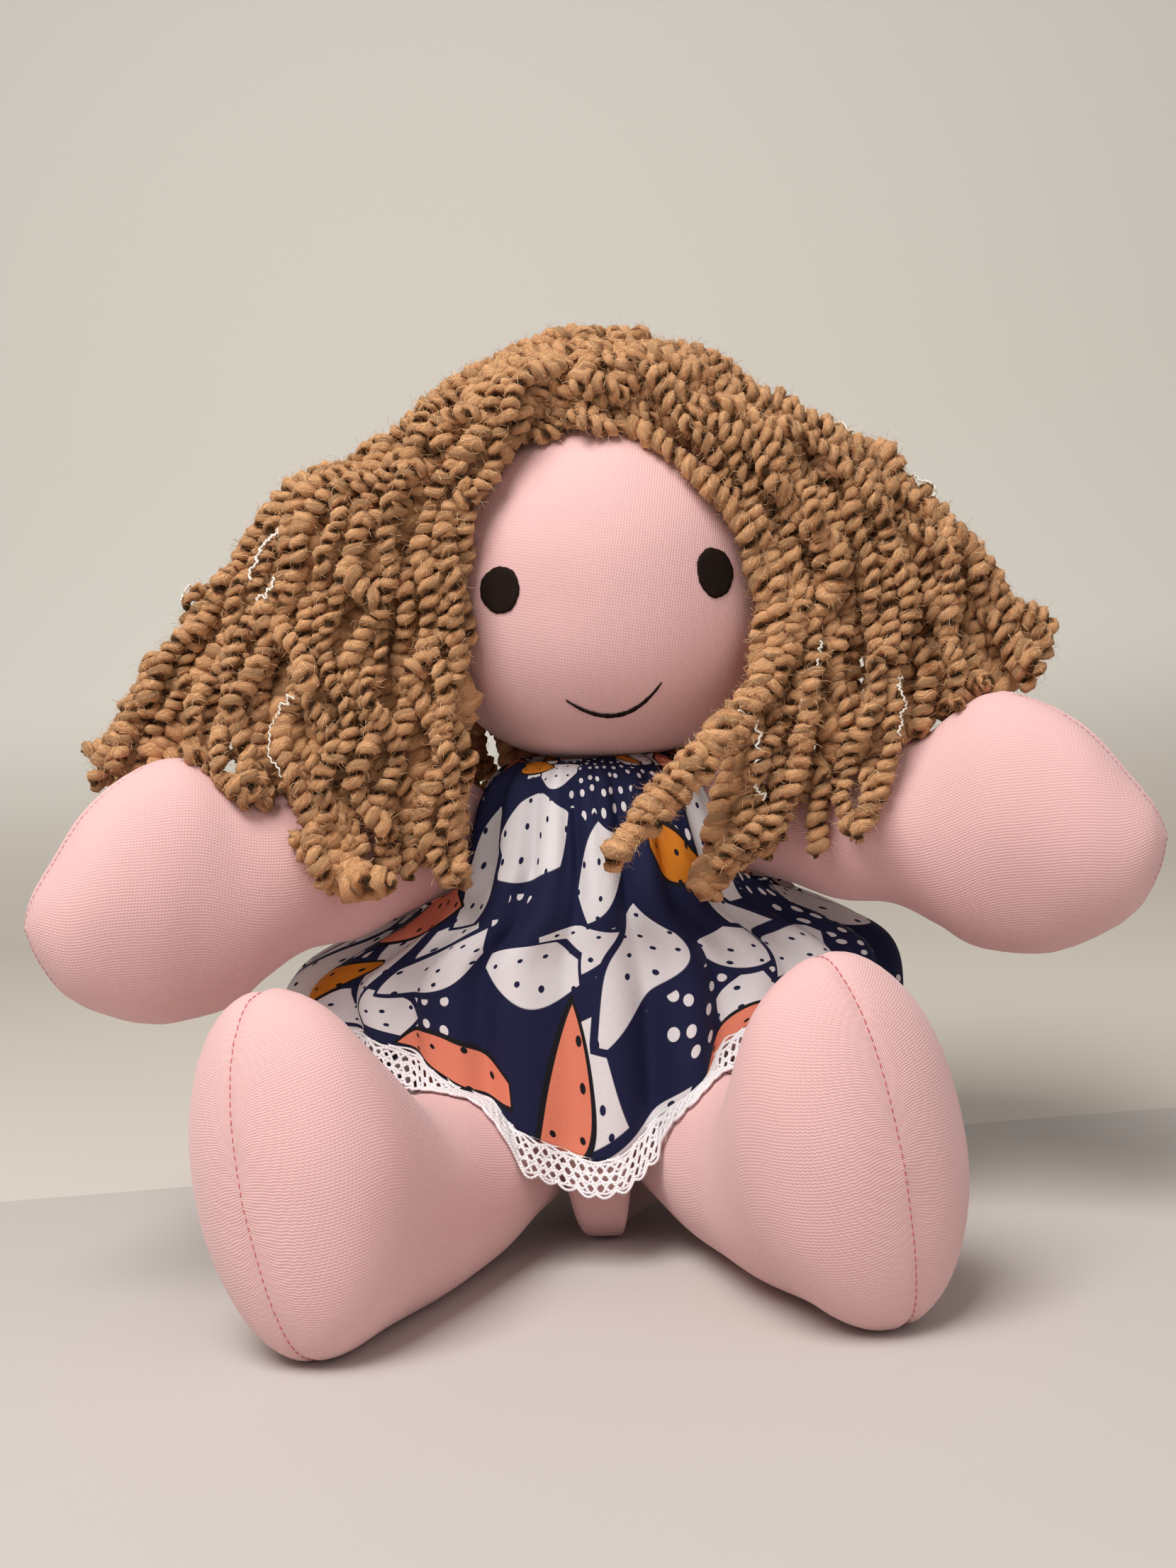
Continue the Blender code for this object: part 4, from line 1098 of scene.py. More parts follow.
@dataclass
class Cushion:
    """One stuffed body: two sewn half forms, pinched in at the seam between them."""

    name: str
    form: Loft
    labels: tuple[str, str]
    body: str
    rings: int = 96
    pinch: float = 0.9 * MM
    pinch_width: float = 1.9 * MM
    pucker: float = 0.5 * MM
    lumps: float = 0.45 * MM
    floor: bool = False

    def angles(self) -> Points:
        """Angles from the upper seam round to the lower, close together near both."""
        near = np.array((0.0, 0.012, 0.028, 0.048, 0.075, 0.11, 0.16, 0.23, 0.32))
        middle = np.linspace(0.42, math.pi - 0.42, 23)
        return np.concatenate([near, middle, math.pi - near[::-1]])

    def surface(self, sign: int, out: float = 0.0) -> tuple[Points, Points]:
        """One half's outer surface.

        Args:
            sign: 1 or -1, the side of the seam.
            out: how far off the cloth.

        Returns:
            The grid of points from root to tip, and each one's place on the flat cloth.
        """
        rings = self.form.rings(self.rings)
        angles = self.angles()
        run, top, bottom, half, drift = (rings[:, k, None] for k in range(5))
        tall, middle = (top - bottom) / 2, (top + bottom) / 2
        lift, aside = tall * np.cos(angles), half * np.sin(angles)
        steps = np.hypot(np.diff(lift, axis=1), np.diff(aside, axis=1))
        arc = np.concatenate([np.zeros((len(rings), 1)), np.cumsum(steps, axis=1)], axis=1)
        from_seam = np.minimum(arc, arc[:, -1:] - arc)
        radius = np.hypot(lift, aside) + 1e-9
        size = np.minimum(tall, half) + 1e-9
        strength = smooth(size / (9 * MM))
        base = self.form.place + self.form.along * run[:, :, None] + self.form.up * middle[:, :, None]
        spoke = self.form.up * lift[:, :, None] + self.form.side() * (sign * aside)[:, :, None]
        spot = base + spoke + self.form.side() * drift[:, :, None]
        flat = spot.reshape(-1, 3)
        wrinkle = ripple(flat, 5.5 * MM, SEED + 1).reshape(arc.shape)
        dip = self.pinch * np.exp(-((from_seam / self.pinch_width) ** 2))
        dip = dip + self.pucker * (0.5 + 0.5 * wrinkle) * np.exp(-((from_seam / (4.5 * MM)) ** 2))
        dip = dip - self.lumps * ripple(flat, 34 * MM, SEED + 2).reshape(arc.shape) * smooth(from_seam / (8 * MM))
        spot = spot - spoke / radius[:, :, None] * (dip * strength - out)[:, :, None]
        if self.floor:
            spot[:, :, 2] = np.maximum(spot[:, :, 2], 0.0)
        cloth = np.stack([arc - arc[:, -1:] / 2, np.broadcast_to(run, arc.shape)], axis=-1)
        return spot, cloth

    def seam(self, out: float) -> Points:
        """The seam's line from the root over the top to the tip and back underneath."""
        front, _ = self.surface(1, out)
        over, under = front[:, 0], front[:, -1]
        return np.vstack([over[:-1], under[::-1]])

    def panels(self, finish: bpy.types.Material) -> list[bpy.types.Object]:
        """Both halves, each closed along the seam's plane, standing for the CAD nodes."""
        made = []
        for sign, label in zip((1, -1), self.labels):
            spot, cloth = self.surface(sign)
            name = f"{self.name}_{label}_panel"
            piece = closed_piece(f"{name}_cloth", spot, finish, cloth)
            stood_for = [name] if sign > 0 else [name, f"{self.name}_stuffing"]
            present(piece, stood_for, self.body)
            made.append(piece)
        return made

    def stitches(
        self, tools: Tools, finish: bpy.types.Material, pitch: float, thickness: float, span: tuple[float, float]
    ) -> bpy.types.Object:
        """The visible stitches in the seam's groove.

        Args:
            tools: the shared trees.
            finish: the thread.
            pitch: from stitch to stitch.
            thickness: of the thread.
            span: the part of the seam's line that shows, as shares of its points.

        Returns:
            The piece.
        """
        line = self.seam(0.14 * MM)
        line = line[int(span[0] * len(line)) : int(span[1] * len(line))]
        source = path_object(f"{self.name}_seam", [line], [np.zeros(len(line))], [0.0])
        piece = tools.stitches.apply(
            source, f"{self.name}_seam_stitches", finish, Pitch=pitch, Length=pitch * 0.74, Thickness=thickness
        )
        discard(source)
        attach(piece, self.body)
        report(piece)
        return piece


def round_root(radius: float) -> list[tuple[float, ...]]:
    """Stations of a ball end about the joint, up to its widest ring."""
    turns = np.radians((0, 28, 58, 90))
    rings = [(-radius * math.cos(turn), radius * math.sin(turn)) for turn in turns]
    return [(run, wide, -wide, wide, 0.0) for run, wide in rings]


@dataclass
class Arm:
    """A mitten arm with a thumb peak on top."""

    side: Side
    shoulder: tuple[float, float, float] = (0.050, 0.034, 0.135)
    root_radius: float = 0.020
    reach: float = 0.137
    above: float = 0.034
    below: float = 0.048
    half_thickness: float = 0.023
    forward: float = math.radians(28)
    shares: tuple[tuple[float, ...], ...] = (
        (0.117, 0.545, 0.500, 0.913),
        (0.248, 0.560, 0.635, 0.957),
        (0.380, 0.590, 0.667, 0.978),
        (0.482, 0.650, 0.812, 0.978),
        (0.555, 0.838, 0.948, 0.978),
        (0.642, 1.000, 1.000, 1.000),
        (0.745, 0.882, 1.000, 0.978),
        (0.847, 0.588, 0.896, 0.870),
        (0.927, 0.176, 0.740, 0.652),
        (0.978, -0.118, 0.500, 0.370),
        (1.000, -0.382, 0.271, 0.000),
    )

    def form(self) -> Loft:
        """The arm's form in place."""
        sign = self.side.value
        rows = round_root(self.root_radius)
        rows += [
            (run * self.reach, top * self.above, -bottom * self.below, half * self.half_thickness, 0.0)
            for run, top, bottom, half in self.shares
        ]
        x, y, z = self.shoulder
        along = np.array((sign * math.cos(self.forward), -math.sin(self.forward), 0.0))
        return Loft(np.array((sign * x, y, z)), along, UP, np.array(rows))

    def build(self, tools: Tools, finishes: Finishes) -> None:
        """Makes the panels and the seam."""
        name = f"{self.side.name.lower()}_arm"
        labels = ("back", "front") if self.side is Side.LEFT else ("front", "back")
        cushion = Cushion(name, self.form(), labels, name)
        cushion.panels(finishes.knit)
        cushion.stitches(tools, finishes.arm_thread, 2.1 * MM, 0.30 * MM, (0.12, 0.88))


@dataclass
class Leg:
    """A fat leg lying on its heel, with a tall foot whose toe points up."""

    side: Side
    hip: tuple[float, float, float]
    splay: float
    roll: float
    root_radius: float = 0.024
    reach: float = 0.138
    toe_above: float = 0.073
    half_width: float = 0.033
    press: float = 0.0005
    shares: tuple[tuple[float, ...], ...] = (
        (0.130, 0.343, 0.840, 0.773),
        (0.275, 0.363, 0.968, 0.818),
        (0.420, 0.390, 1.000, 0.848),
        (0.550, 0.490, 1.000, 0.909),
        (0.667, 0.740, 1.000, 0.970),
        (0.768, 0.960, 1.000, 1.000),
        (0.841, 0.985, 1.000, 0.970),
        (0.905, 0.890, 0.940, 0.848),
        (0.953, 0.740, 0.720, 0.636),
        (0.986, 0.520, 0.200, 0.364),
        (1.000, 0.247, -0.571, 0.000),
    )

    def form(self) -> Loft:
        """The leg's form in place."""
        sign = self.side.value
        below = self.hip[2] + self.press
        rows = round_root(self.root_radius)
        rows += [
            (run * self.reach, top * self.toe_above, -bottom * below, half * self.half_width, 0.0)
            for run, top, bottom, half in self.shares
        ]
        along = np.array((sign * math.sin(self.splay), -math.cos(self.splay), 0.0))
        lean = turned(UP, along, sign * self.roll)
        return Loft(np.array(self.hip), along, lean, np.array(rows))

    def build(self, tools: Tools, finishes: Finishes) -> None:
        """Makes the panels and the seam."""
        name = f"{self.side.name.lower()}_leg"
        labels = ("outer", "inner") if self.side is Side.LEFT else ("inner", "outer")
        cushion = Cushion(name, self.form(), labels, name, floor=True)
        cushion.panels(finishes.knit)
        cushion.stitches(tools, finishes.leg_thread, 2.4 * MM, 0.42 * MM, (0.16, 0.62))


@dataclass
class Torso:
    """The pear-shaped body and the neck stub on it."""

    height: float = 0.151
    half_width: float = 0.050
    half_depth: float = 0.035
    back: float = 0.045
    seat_back: float = 0.018
    seat_radius: float = 0.014
    press: float = 0.0005
    neck_radius: float = 0.017
    neck_pivot: tuple[float, float, float] = (0.008, 0.045, 0.147)
    neck_rise: float = 0.023
    room_gap: float = 0.0006
    arm_swing: tuple[float, float] = (math.radians(4), math.radians(-30))
    leg_swing: tuple[float, float] = (math.radians(8), math.radians(-70))
    shares: tuple[tuple[float, ...], ...] = (
        (0.020, 0.54, 0.55, 0.97),
        (0.080, 0.82, 0.78, 0.86),
        (0.200, 0.98, 0.94, 0.66),
        (0.364, 1.00, 1.00, 0.44),
        (0.563, 0.88, 0.97, 0.28),
        (0.760, 0.80, 0.92, 0.17),
        (0.887, 0.68, 0.77, 0.08),
        (0.967, 0.44, 0.51, 0.02),
        (1.000, 0.00, 0.00, 0.00),
    )

    def form(self) -> Loft:
        """The body's form in place."""
        seat = self.seat_radius
        height, width, depth = self.height, self.half_width, self.half_depth
        rows = [
            (-self.press, 0.0, 0.0, 0.0, self.seat_back),
            (0.0, seat, -seat, seat * depth / width, self.seat_back),
        ]
        rows += [
            (run * height, wide * width, -wide * width, half * depth, back * self.seat_back)
            for run, wide, half, back in self.shares
        ]
        return Loft(np.array((0.0, self.back, 0.0)), UP, np.array((1.0, 0.0, 0.0)), np.array(rows))

    def limb_room(
        self, form: Loft, radius: float, spread: float, reach: float, turns: tuple[float, float]
    ) -> bpy.types.Object:
        """A helper solid: the room that a limb sweeps between its limits."""
        aside = np.cross(form.along, UP)
        spots = [(form.place, radius + self.room_gap)]
        spots += [(form.place + turned(form.along, aside, turn) * reach, radius + spread) for turn in turns]
        bm = bmesh.new()
        for centre, size in spots:
            matrix = Matrix.Translation(Vector(centre)) @ Matrix.Scale(size, 4)
            bmesh.ops.create_uvsphere(bm, u_segments=28, v_segments=18, radius=1, matrix=matrix)
        loose = [vert.co.copy() for vert in bm.verts]
        bm.clear()
        for spot in loose:
            bm.verts.new(spot)
        hull = bmesh.ops.convex_hull(bm, input=bm.verts)
        inside = [item for item in hull["geom_interior"] if isinstance(item, bmesh.types.BMVert)]
        bmesh.ops.delete(bm, geom=inside, context="VERTS")
        mesh = bpy.data.meshes.new("limb_room")
        bm.to_mesh(mesh)
        bm.free()
        return linked("limb_room", mesh)

    def build(self, limbs: Sequence[Arm | Leg], finishes: Finishes) -> None:
        """Makes the panels with a hollow for each limb, and the neck."""
        rooms = []
        for limb in limbs:
            if isinstance(limb, Arm):
                spread, turns = limb.below - limb.root_radius, self.arm_swing
            else:
                spread, turns = limb.root_radius / 2, self.leg_swing
            rooms.append(self.limb_room(limb.form(), limb.root_radius, spread, limb.reach / 2, turns))
        cushion = Cushion("torso", self.form(), ("front", "back"), "torso", rings=72, floor=True)
        for piece in cushion.panels(finishes.knit):
            for room in rooms:
                cut = piece.modifiers.new("room", "BOOLEAN")
                cut.operation, cut.solver, cut.object = "DIFFERENCE", "EXACT", room
                # The seat is pressed flat on the floor, and without this the cut leaves nothing.
                cut.use_self = True
            mesh = bpy.data.meshes.new_from_object(piece.evaluated_get(bpy.context.evaluated_depsgraph_get()))
            if not mesh.polygons:
                raise RuntimeError(f"nothing is left of {piece.name}")
            piece.modifiers.clear()
            piece.data = mesh
            report(piece)
            mesh.shade_smooth()
        for room in rooms:
            discard(room)
        self.neck(finishes)

    def neck(self, finishes: Finishes) -> None:
        """The stuffed stub between the shoulders and the head."""
        turns = np.linspace(0, math.pi / 2, 9)
        foot = [(self.neck_radius * math.sin(a), -self.neck_radius * math.cos(a)) for a in turns]
        top = [(self.neck_radius * math.cos(a), self.neck_rise * (1 + math.sin(a)) / 2) for a in turns]
        profile = np.array(foot + top)
        around = np.linspace(0, 2 * math.pi, 48, endpoint=False)
        radius, height = profile[:, :1], profile[:, 1:]
        spread = (radius * np.cos(around), radius * np.sin(around), np.broadcast_to(height, (len(profile), 48)))
        grid = np.stack(spread, axis=-1) + np.array(self.neck_pivot)
        cloth = np.stack(np.broadcast_arrays(around * self.neck_radius, height), axis=-1)
        piece = closed_piece("neck_stub", grid, finishes.knit, cloth)
        present(piece, ["neck"], "neck")


@dataclass
class Head:
    """The ball head with its painted face."""

    centre: tuple[float, float, float] = (0.011, 0.037, 0.214)
    half_width: float = 0.0585
    half_depth: float = 0.055
    half_height: float = 0.058
    fullness: float = 2.6
    eye_spacing: float = 0.0667
    eye_half_width: float = 0.0059
    eye_half_height: float = 0.0078
    eye_below: float = 0.002
    right_eye_wider: float = 1.07
    smile_half_width: float = 0.015
    smile_drop: float = 0.0075
    smile_below: float = 0.036
    smile_tilt: float = math.radians(6)
    smile_stroke: float = 0.0013
    paint: float = 0.00025

    def sizes(self) -> Points:
        """Half sizes along X, Y and Z."""
        return np.array((self.half_width, self.half_depth, self.half_height))

    def depth(self, shares: Points) -> Points:
        """How far out points lie, 1 on the cloth, which is fuller than a ball below the middle.

        Args:
            shares: the points from the head's middle, as shares of its half sizes.
        """
        around = np.hypot(shares[..., 0], shares[..., 1])
        power = np.where(shares[..., 2] < 0, self.fullness, 2.0)
        return (around**power + np.abs(shares[..., 2]) ** power) ** (1 / power)

    def form(self) -> Loft:
        """The head's form in place."""
        rows = []
        for turn in np.linspace(0, math.pi, 25):
            way = np.array((math.sin(turn), 0.0, -math.cos(turn)))
            across, _, high = way / self.depth(way)
            wide = self.half_width * across
            rows.append((self.half_height * high, wide, -wide, self.half_depth * across, 0.0))
        rows[0] = (-self.half_height, 0.0, 0.0, 0.0, 0.0)
        rows[-1] = (self.half_height, 0.0, 0.0, 0.0, 0.0)
        return Loft(np.array(self.centre), UP, np.array((1.0, 0.0, 0.0)), np.array(rows))

    def over(self, way: Points, out: Points | float) -> Points:
        """Points over the head in unit directions, that far off its cloth."""
        return np.array(self.centre) + way / self.depth(way)[:, None] * (self.sizes() + np.reshape(out, (-1, 1)))

    def clear(self, points: Points, gap: Points | float) -> Points:
        """The points, moved out to stand the gap off the cloth."""
        away = points - np.array(self.centre)
        depth = self.depth(away / (self.sizes() + np.reshape(gap, (-1, 1))))
        return np.array(self.centre) + away / np.minimum(depth, 1.0)[:, None]

    def face(self, spots: Points, out: float) -> Points:
        """Points on the face at X and Z from the head's middle, that far off its cloth."""
        wide, deep, tall = self.sizes() + out
        power = np.where(spots[:, 1] < 0, self.fullness, 2.0)
        around = (1 - np.abs(spots[:, 1] / tall) ** power) ** (1 / power)
        depth = deep * np.sqrt(around**2 - (spots[:, 0] / wide) ** 2)
        return np.array(self.centre) + np.stack([spots[:, 0], -depth, spots[:, 1]], axis=1)

    def eye(self, side: Side, finishes: Finishes) -> None:
        """A painted oval with a slightly uneven edge."""
        count, rings = 72, 8
        around = np.linspace(0, 2 * math.pi, count, endpoint=False)
        middle = np.array((side.value * self.eye_spacing / 2, -self.eye_below))
        edge = 1 + 0.022 * np.sin(3 * around + side.value) + 0.014 * np.sin(7 * around + 2)
        edge = edge + 0.010 * np.sin(17 * around)
        wider = self.right_eye_wider if side is Side.RIGHT else 1.0
        x = self.eye_half_width * wider * np.cos(around) * edge
        z = self.eye_half_height / wider * np.sin(around) * edge
        oval = spun(x, z, math.radians(4 * side.value))
        shares = np.linspace(0, 1, rings)
        low = [self.face(middle + oval * share, -self.paint) for share in shares]
        lifts = self.paint * (1 - 0.4 * shares**6) + 0.1 * MM
        high = [self.face(middle + oval * share * 0.985, lift) for share, lift in zip(shares[::-1], lifts[::-1])]
        grid = np.array(low + high)
        name = f"{side.name.lower()}_eye"
        present(closed_piece(f"{name}_paint", grid, finishes.paint), [name], "head")

    def smile(self, finishes: Finishes) -> None:
        """A thin curved stroke, uneven as a pen's."""
        share = np.linspace(-1, 1, 97)
        x = share * self.smile_half_width
        z = self.smile_drop * share**2
        stroke = self.smile_stroke / 2 * (1 - 0.55 * np.abs(share) ** 5)
        stroke = stroke * (1 + 0.10 * np.sin(23 * share) + 0.07 * np.sin(51 * share + 1))
        rows = [spun(x, z + level * stroke, self.smile_tilt) for level in np.linspace(-1, 1, 5)]
        rows = [row - np.array((0.0, self.smile_below + self.smile_drop)) for row in rows]
        lifts = np.array((0.6, 0.95, 1.0, 0.95, 0.6)) * self.paint + 0.1 * MM
        outer = [self.face(row, lift) for row, lift in zip(rows, lifts)]
        inner = [self.face(row, -self.paint) for row in rows[::-1]]
        grid = np.array(outer + inner).transpose(1, 0, 2)
        columns = grid.shape[1]
        faces = grid_faces(*grid.shape[:2], closed=True).tolist()
        last = (len(share) - 1) * columns
        faces += [list(range(columns)), list(range(last, last + columns))]
        piece = mesh_piece("smile_paint", grid.reshape(-1, 3), faces, finishes.paint)
        present(piece, ["smile"], "head")

    def build(self, finishes: Finishes) -> None:
        """Makes the head and its face."""
        Cushion("head", self.form(), ("face", "back"), "head", rings=84, lumps=0.3 * MM).panels(finishes.knit)
        for side in Side:
            self.eye(side, finishes)
        self.smile(finishes)


# Dress


@dataclass
class Dress:
    """A sleeveless dress gathered at the neck, in folds over the thighs, with lace at the hem."""

    legs: list[Loft]
    back: float = 0.045
    torso_height: float = 0.151
    shoulder_height: float = 0.135
    header: float = 0.0060
    band_radius: float = 0.0255
    band_height: float = 0.007
    band_thickness: float = 0.004
    cotton: float = 0.0005
    chest_half_width: float = 0.062
    chest_depths: tuple[float, float] = (0.052, 0.042)
    waist_half_width: float = 0.099
    waist_height: float = 0.090
    hem_half_width: float = 0.101
    waist_depths: tuple[float, float] = (0.052, 0.043)
    hem_depths: tuple[float, float] = (0.058, 0.047)
    front_hem: float = 0.032
    thigh_rise: float = 0.045
    side_hem: float = 0.057
    back_hem: float = 0.015
    armhole: float = math.radians(49)
    side_seam: float = math.radians(89.6)
    hem_seam: float = math.radians(88)
    armhole_end: float = 0.42
    side_seam_start: float = 0.62
    hem_rises: tuple[float, ...] = (0.55, 0.86, 0.96, 0.93, 0.70, 0.29, 0.04, 0.44, 0.90, 1.00, 0.98, 0.84, 0.55)
    side_lean: float = 0.004
    back_half_width: float = 0.086
    rows: int = 90
    columns: int = 230
    drape_gap: float = 1.1 * MM
    flat_reach: float = 0.118
    flat_length: float = 0.150
    lace_width: float = 12 * MM
    folds: tuple[tuple[float, float, float], ...] = (
        (-78, 7.0, 5.0),
        (-60, 6.5, 5.6),
        (-44, 6.0, 4.6),
        (-30, 6.0, 5.4),
        (-14, 6.2, 4.4),
        (2, 6.4, 6.0),
        (17, 5.0, 5.4),
        (31, 6.0, 4.6),
        (47, 6.5, 5.8),
        (63, 6.0, 4.6),
        (79, 7.0, 5.0),
    )
    pleat_turns: tuple[float, ...] = (-27, -9, 10, 33)
    lace_repeat: float = 6.2 * MM

    def hem_height(self, turn: Points) -> Points:
        """How high the skirt's edge lies, turned from the front centre."""
        turn = wrapped(turn)
        around = np.abs(turn)
        rises = np.array(self.hem_rises)[:, None]
        place = (np.clip(turn / self.hem_seam, -1, 1) + 1) * (len(rises) - 1) / 2
        front = self.front_hem + catmull(rises, place)[:, 0] * self.thigh_rise
        share = (around - self.hem_seam) / (math.pi - self.hem_seam)
        behind = self.side_hem + (self.back_hem - self.side_hem) * smooth(share)
        return np.where(around <= self.hem_seam, front, behind)

    def levels(self, turn: Points) -> Points:
        """Half width, half depth and height from the neckband to the hem, for each turn."""
        top = self.torso_height
        start = self.band_radius + self.band_thickness + 0.9 * MM
        behind = (np.cos(turn) < 0).astype(int)
        depths = (self.chest_depths, self.waist_depths, self.hem_depths)
        chest, waist, hem = (np.array(pair)[behind] for pair in depths)
        flat = np.ones_like(turn)
        wide = self.chest_half_width
        aside = smooth(1 + np.cos(turn) / 0.6)
        waist_wide, hem_wide = (
            self.back_half_width + (width - self.back_half_width) * aside
            for width in (self.waist_half_width, self.hem_half_width)
        )
        rows = [
            (start * flat, start * flat, (top + self.header) * flat),
            ((start + wide) / 2 * flat, (start + chest) / 2, (top - self.cotton * 6) * flat),
            (wide * flat, chest, (self.shoulder_height + self.waist_height) / 2 * flat),
            (waist_wide, waist, self.waist_height * flat),
            (hem_wide, hem, np.minimum(self.hem_height(turn), self.waist_height - 4 * MM)),
        ]
        return np.array([np.stack(row, axis=-1) for row in rows])

    def fold(self, turn: Points, down: Points) -> Points:
        """How far the cloth stands out in its folds."""
        around = np.degrees(wrapped(turn))
        behind = np.abs(around) > 90
        mirrored = np.where(around > 0, 180 - around, -180 - around)
        place = np.where(behind, mirrored * 0.97 + 3, around)
        total = np.zeros(np.broadcast(turn, down).shape)
        sway = 1.6 * np.sin(3.1 * down + place / 23)
        for centre, width, depth in self.folds:
            away = (place - centre - sway * down) / (width * (0.80 + 0.25 * down))
            total = total + depth * np.exp(-np.abs(away) ** 2.6) * (1 + 0.2 * np.sin(4 * down + centre))
        for (left, _, _), (right, _, _) in zip(self.folds, self.folds[1:]):
            away = (place - (left + right) / 2 - sway * down) / 2.2
            total = total - 2.6 * np.exp(-np.abs(away) ** 1.25)
        for centre in self.pleat_turns:
            away = place - centre - 2 * down
            total = total + 2.6 * smooth((away + 0.9) / 1.8) * np.exp(-np.maximum(away, 0) / 8)
        main = (total * 1.35 - 3.6) * MM * smooth((down - 0.04) / 0.5) * (0.70 + 0.35 * down)
        gathers = np.cos(np.radians(place) * 44 + 2.2 * np.sin(np.radians(place) * 5))
        fine = np.cos(np.radians(place) * 27 + 1.7 * np.sin(np.radians(place) * 7) + 1.0)
        pleats = 0.85 * MM * gathers * (1 - smooth((down - 0.02) / 0.30))
        pleats = pleats + 0.8 * MM * fine * smooth(down / 0.12) * (1 - smooth((down - 0.22) / 0.45))
        return main + pleats

    def grid(self, facing: Facing) -> tuple[Points, Points]:
        """The panel's middle surface.

        Args:
            facing: which panel.

        Returns:
            The grid of points from neck to hem, and each one's place on the flat cloth.
        """
        middle = 0.0 if facing is Facing.FRONT else math.pi
        across = np.linspace(-1, 1, self.columns + 1)
        spots, cloth = [], []
        for down in np.linspace(0, 1, self.rows + 1):
            opened = smooth((down - self.armhole_end) / (self.side_seam_start - self.armhole_end))
            turn = middle + (self.armhole + (self.side_seam - self.armhole) * opened) * across
            levels = self.levels(turn)
            flat = levels.reshape(len(levels), -1)
            wide, deep, height = catmull(flat, np.array([down * (len(levels) - 1)]))[0].reshape(-1, 3).T
            fold = self.fold(turn, np.full_like(turn, down))
            lean = -self.side_lean * smooth((down - 0.35) / 0.4)
            spot = np.stack(
                [lean + (wide + fold) * np.sin(turn), self.back - (deep + fold) * np.cos(turn), height], axis=1
            )
            spots.append(spot)
            flat_down = np.full_like(turn, -down * self.flat_length)
            cloth.append(np.stack([(turn - middle) * self.flat_reach, flat_down], axis=1))
        grid = np.array(spots)
        return self.drape(grid), np.array(cloth)

    def drape(self, grid: Points) -> Points:
        """Settles the cloth on the thighs and softens it."""
        for _ in range(4):
            shape = grid.shape
            flat = grid.reshape(-1, 3)
            for leg in self.legs:
                flat = leg.clear(flat, self.drape_gap + self.cotton / 2)
            grid = flat.reshape(shape)
            for _ in range(3):
                soft = grid.copy()
                soft[1:-1, 1:-1] = (
                    grid[:-2, 1:-1] + grid[2:, 1:-1] + grid[1:-1, :-2] + grid[1:-1, 2:] + 4 * grid[1:-1, 1:-1]
                ) / 8
                soft[-1, 1:-1] = (grid[-1, :-2] + grid[-1, 2:] + 2 * grid[-1, 1:-1]) / 4
                grid = soft
        flat = grid.reshape(-1, 3)
        for leg in self.legs:
            flat = leg.clear(flat, self.drape_gap + self.cotton / 2)
        return flat.reshape(grid.shape)

    def lace_surface(self, grid: Points, facing: Facing) -> Callable[[Points, Points], Points]:
        """The strip below a hem as a function of the place along it and the way down it, both in metres."""
        hem = grid[-1]
        above = grid[-1 - self.rows // 12]
        run = lengths(hem)
        way = unit(hem - above)
        if facing is Facing.FRONT:
            outward = unit((hem - np.array((0.0, self.back, 0.0))) * np.array((1.0, 1.0, 0.0)))
            way = unit(way + outward / 2)
        for _ in range(12):
            way[1:-1] = unit(way[:-2] + way[2:] + way[1:-1])

        def surface(along: Points, down: Points) -> Points:
            spot = resampled(hem, run, along)
            fall = unit(resampled(way, run, along))
            spot = spot + fall * down[:, None]
            spot[:, 2] = np.maximum(spot[:, 2], 1.0 * MM)
            for leg in self.legs:
                spot = leg.clear(spot, 1.3 * MM)
            return spot

        surface.length = float(run[-1])
        return surface

    def lace(self, grid: Points, facing: Facing, tools: Tools, finishes: Finishes) -> bpy.types.Object:
        """Crochet edging: a solid heading, three rows of eyelets and a scalloped edge."""
        surface = self.lace_surface(grid, facing)
        length = surface.length
        repeats = round(length / self.lace_repeat)
        pitch = length / repeats
        along = np.linspace(0, length, repeats * 10 + 1)
        wave = 2 * math.pi * along / pitch
        rows = [(level * MM + 0 * along, 0.50) for level in (-0.4, 0.5, 1.4)]
        for level, shift in ((3.1, 0.0), (5.9, 1.0), (8.7, 0.0)):
            for turn in (0.0, math.pi):
                rows.append((level * MM + 1.55 * MM * np.sin(wave + turn + shift * math.pi / 2), 0.50))
        rows += [(level * MM + 0.3 * MM * np.sin(2 * wave), 0.42) for level in (4.5, 7.3)]
        edge = np.abs(np.sin(wave / 2))
        rows.append((10.1 * MM + 1.7 * MM * edge, 0.46))
        rows.append((9.6 * MM + 0.9 * MM * edge, 0.38))
        spread = [ripple(along[:, None], 9 * MM, SEED + k) * 0.55 * MM for k in range(len(rows))]
        paths = [surface(along, down + stray) for (down, _), stray in zip(rows, spread)]
        thick = [np.full(len(along), size * MM) for _, size in rows]
        source = path_object("lace_threads", paths, thick, [0.7 * k for k in range(len(rows))])
        name = f"{facing.value}_lace_crochet"
        piece = tools.thread.apply(source, name, finishes.crochet, Facets=5, Spacing=0.72 * MM)
        discard(source)
        present(piece, [f"{facing.value}_lace"], "torso")
        return piece

    def cut(self, grid: Points) -> tuple[float, float, float]:
        """The flat panel's width, length and area, measured along the cloth."""
        width = np.linalg.norm(np.diff(grid[-1], axis=0), axis=1).sum()
        length = np.linalg.norm(np.diff(grid, axis=0), axis=-1).sum(axis=0).max()
        corners = np.cross(grid[1:, 1:] - grid[:-1, :-1], grid[1:, :-1] - grid[:-1, 1:])
        area = np.linalg.norm(corners, axis=-1).sum() / 2
        return float(width), float(length), float(area)

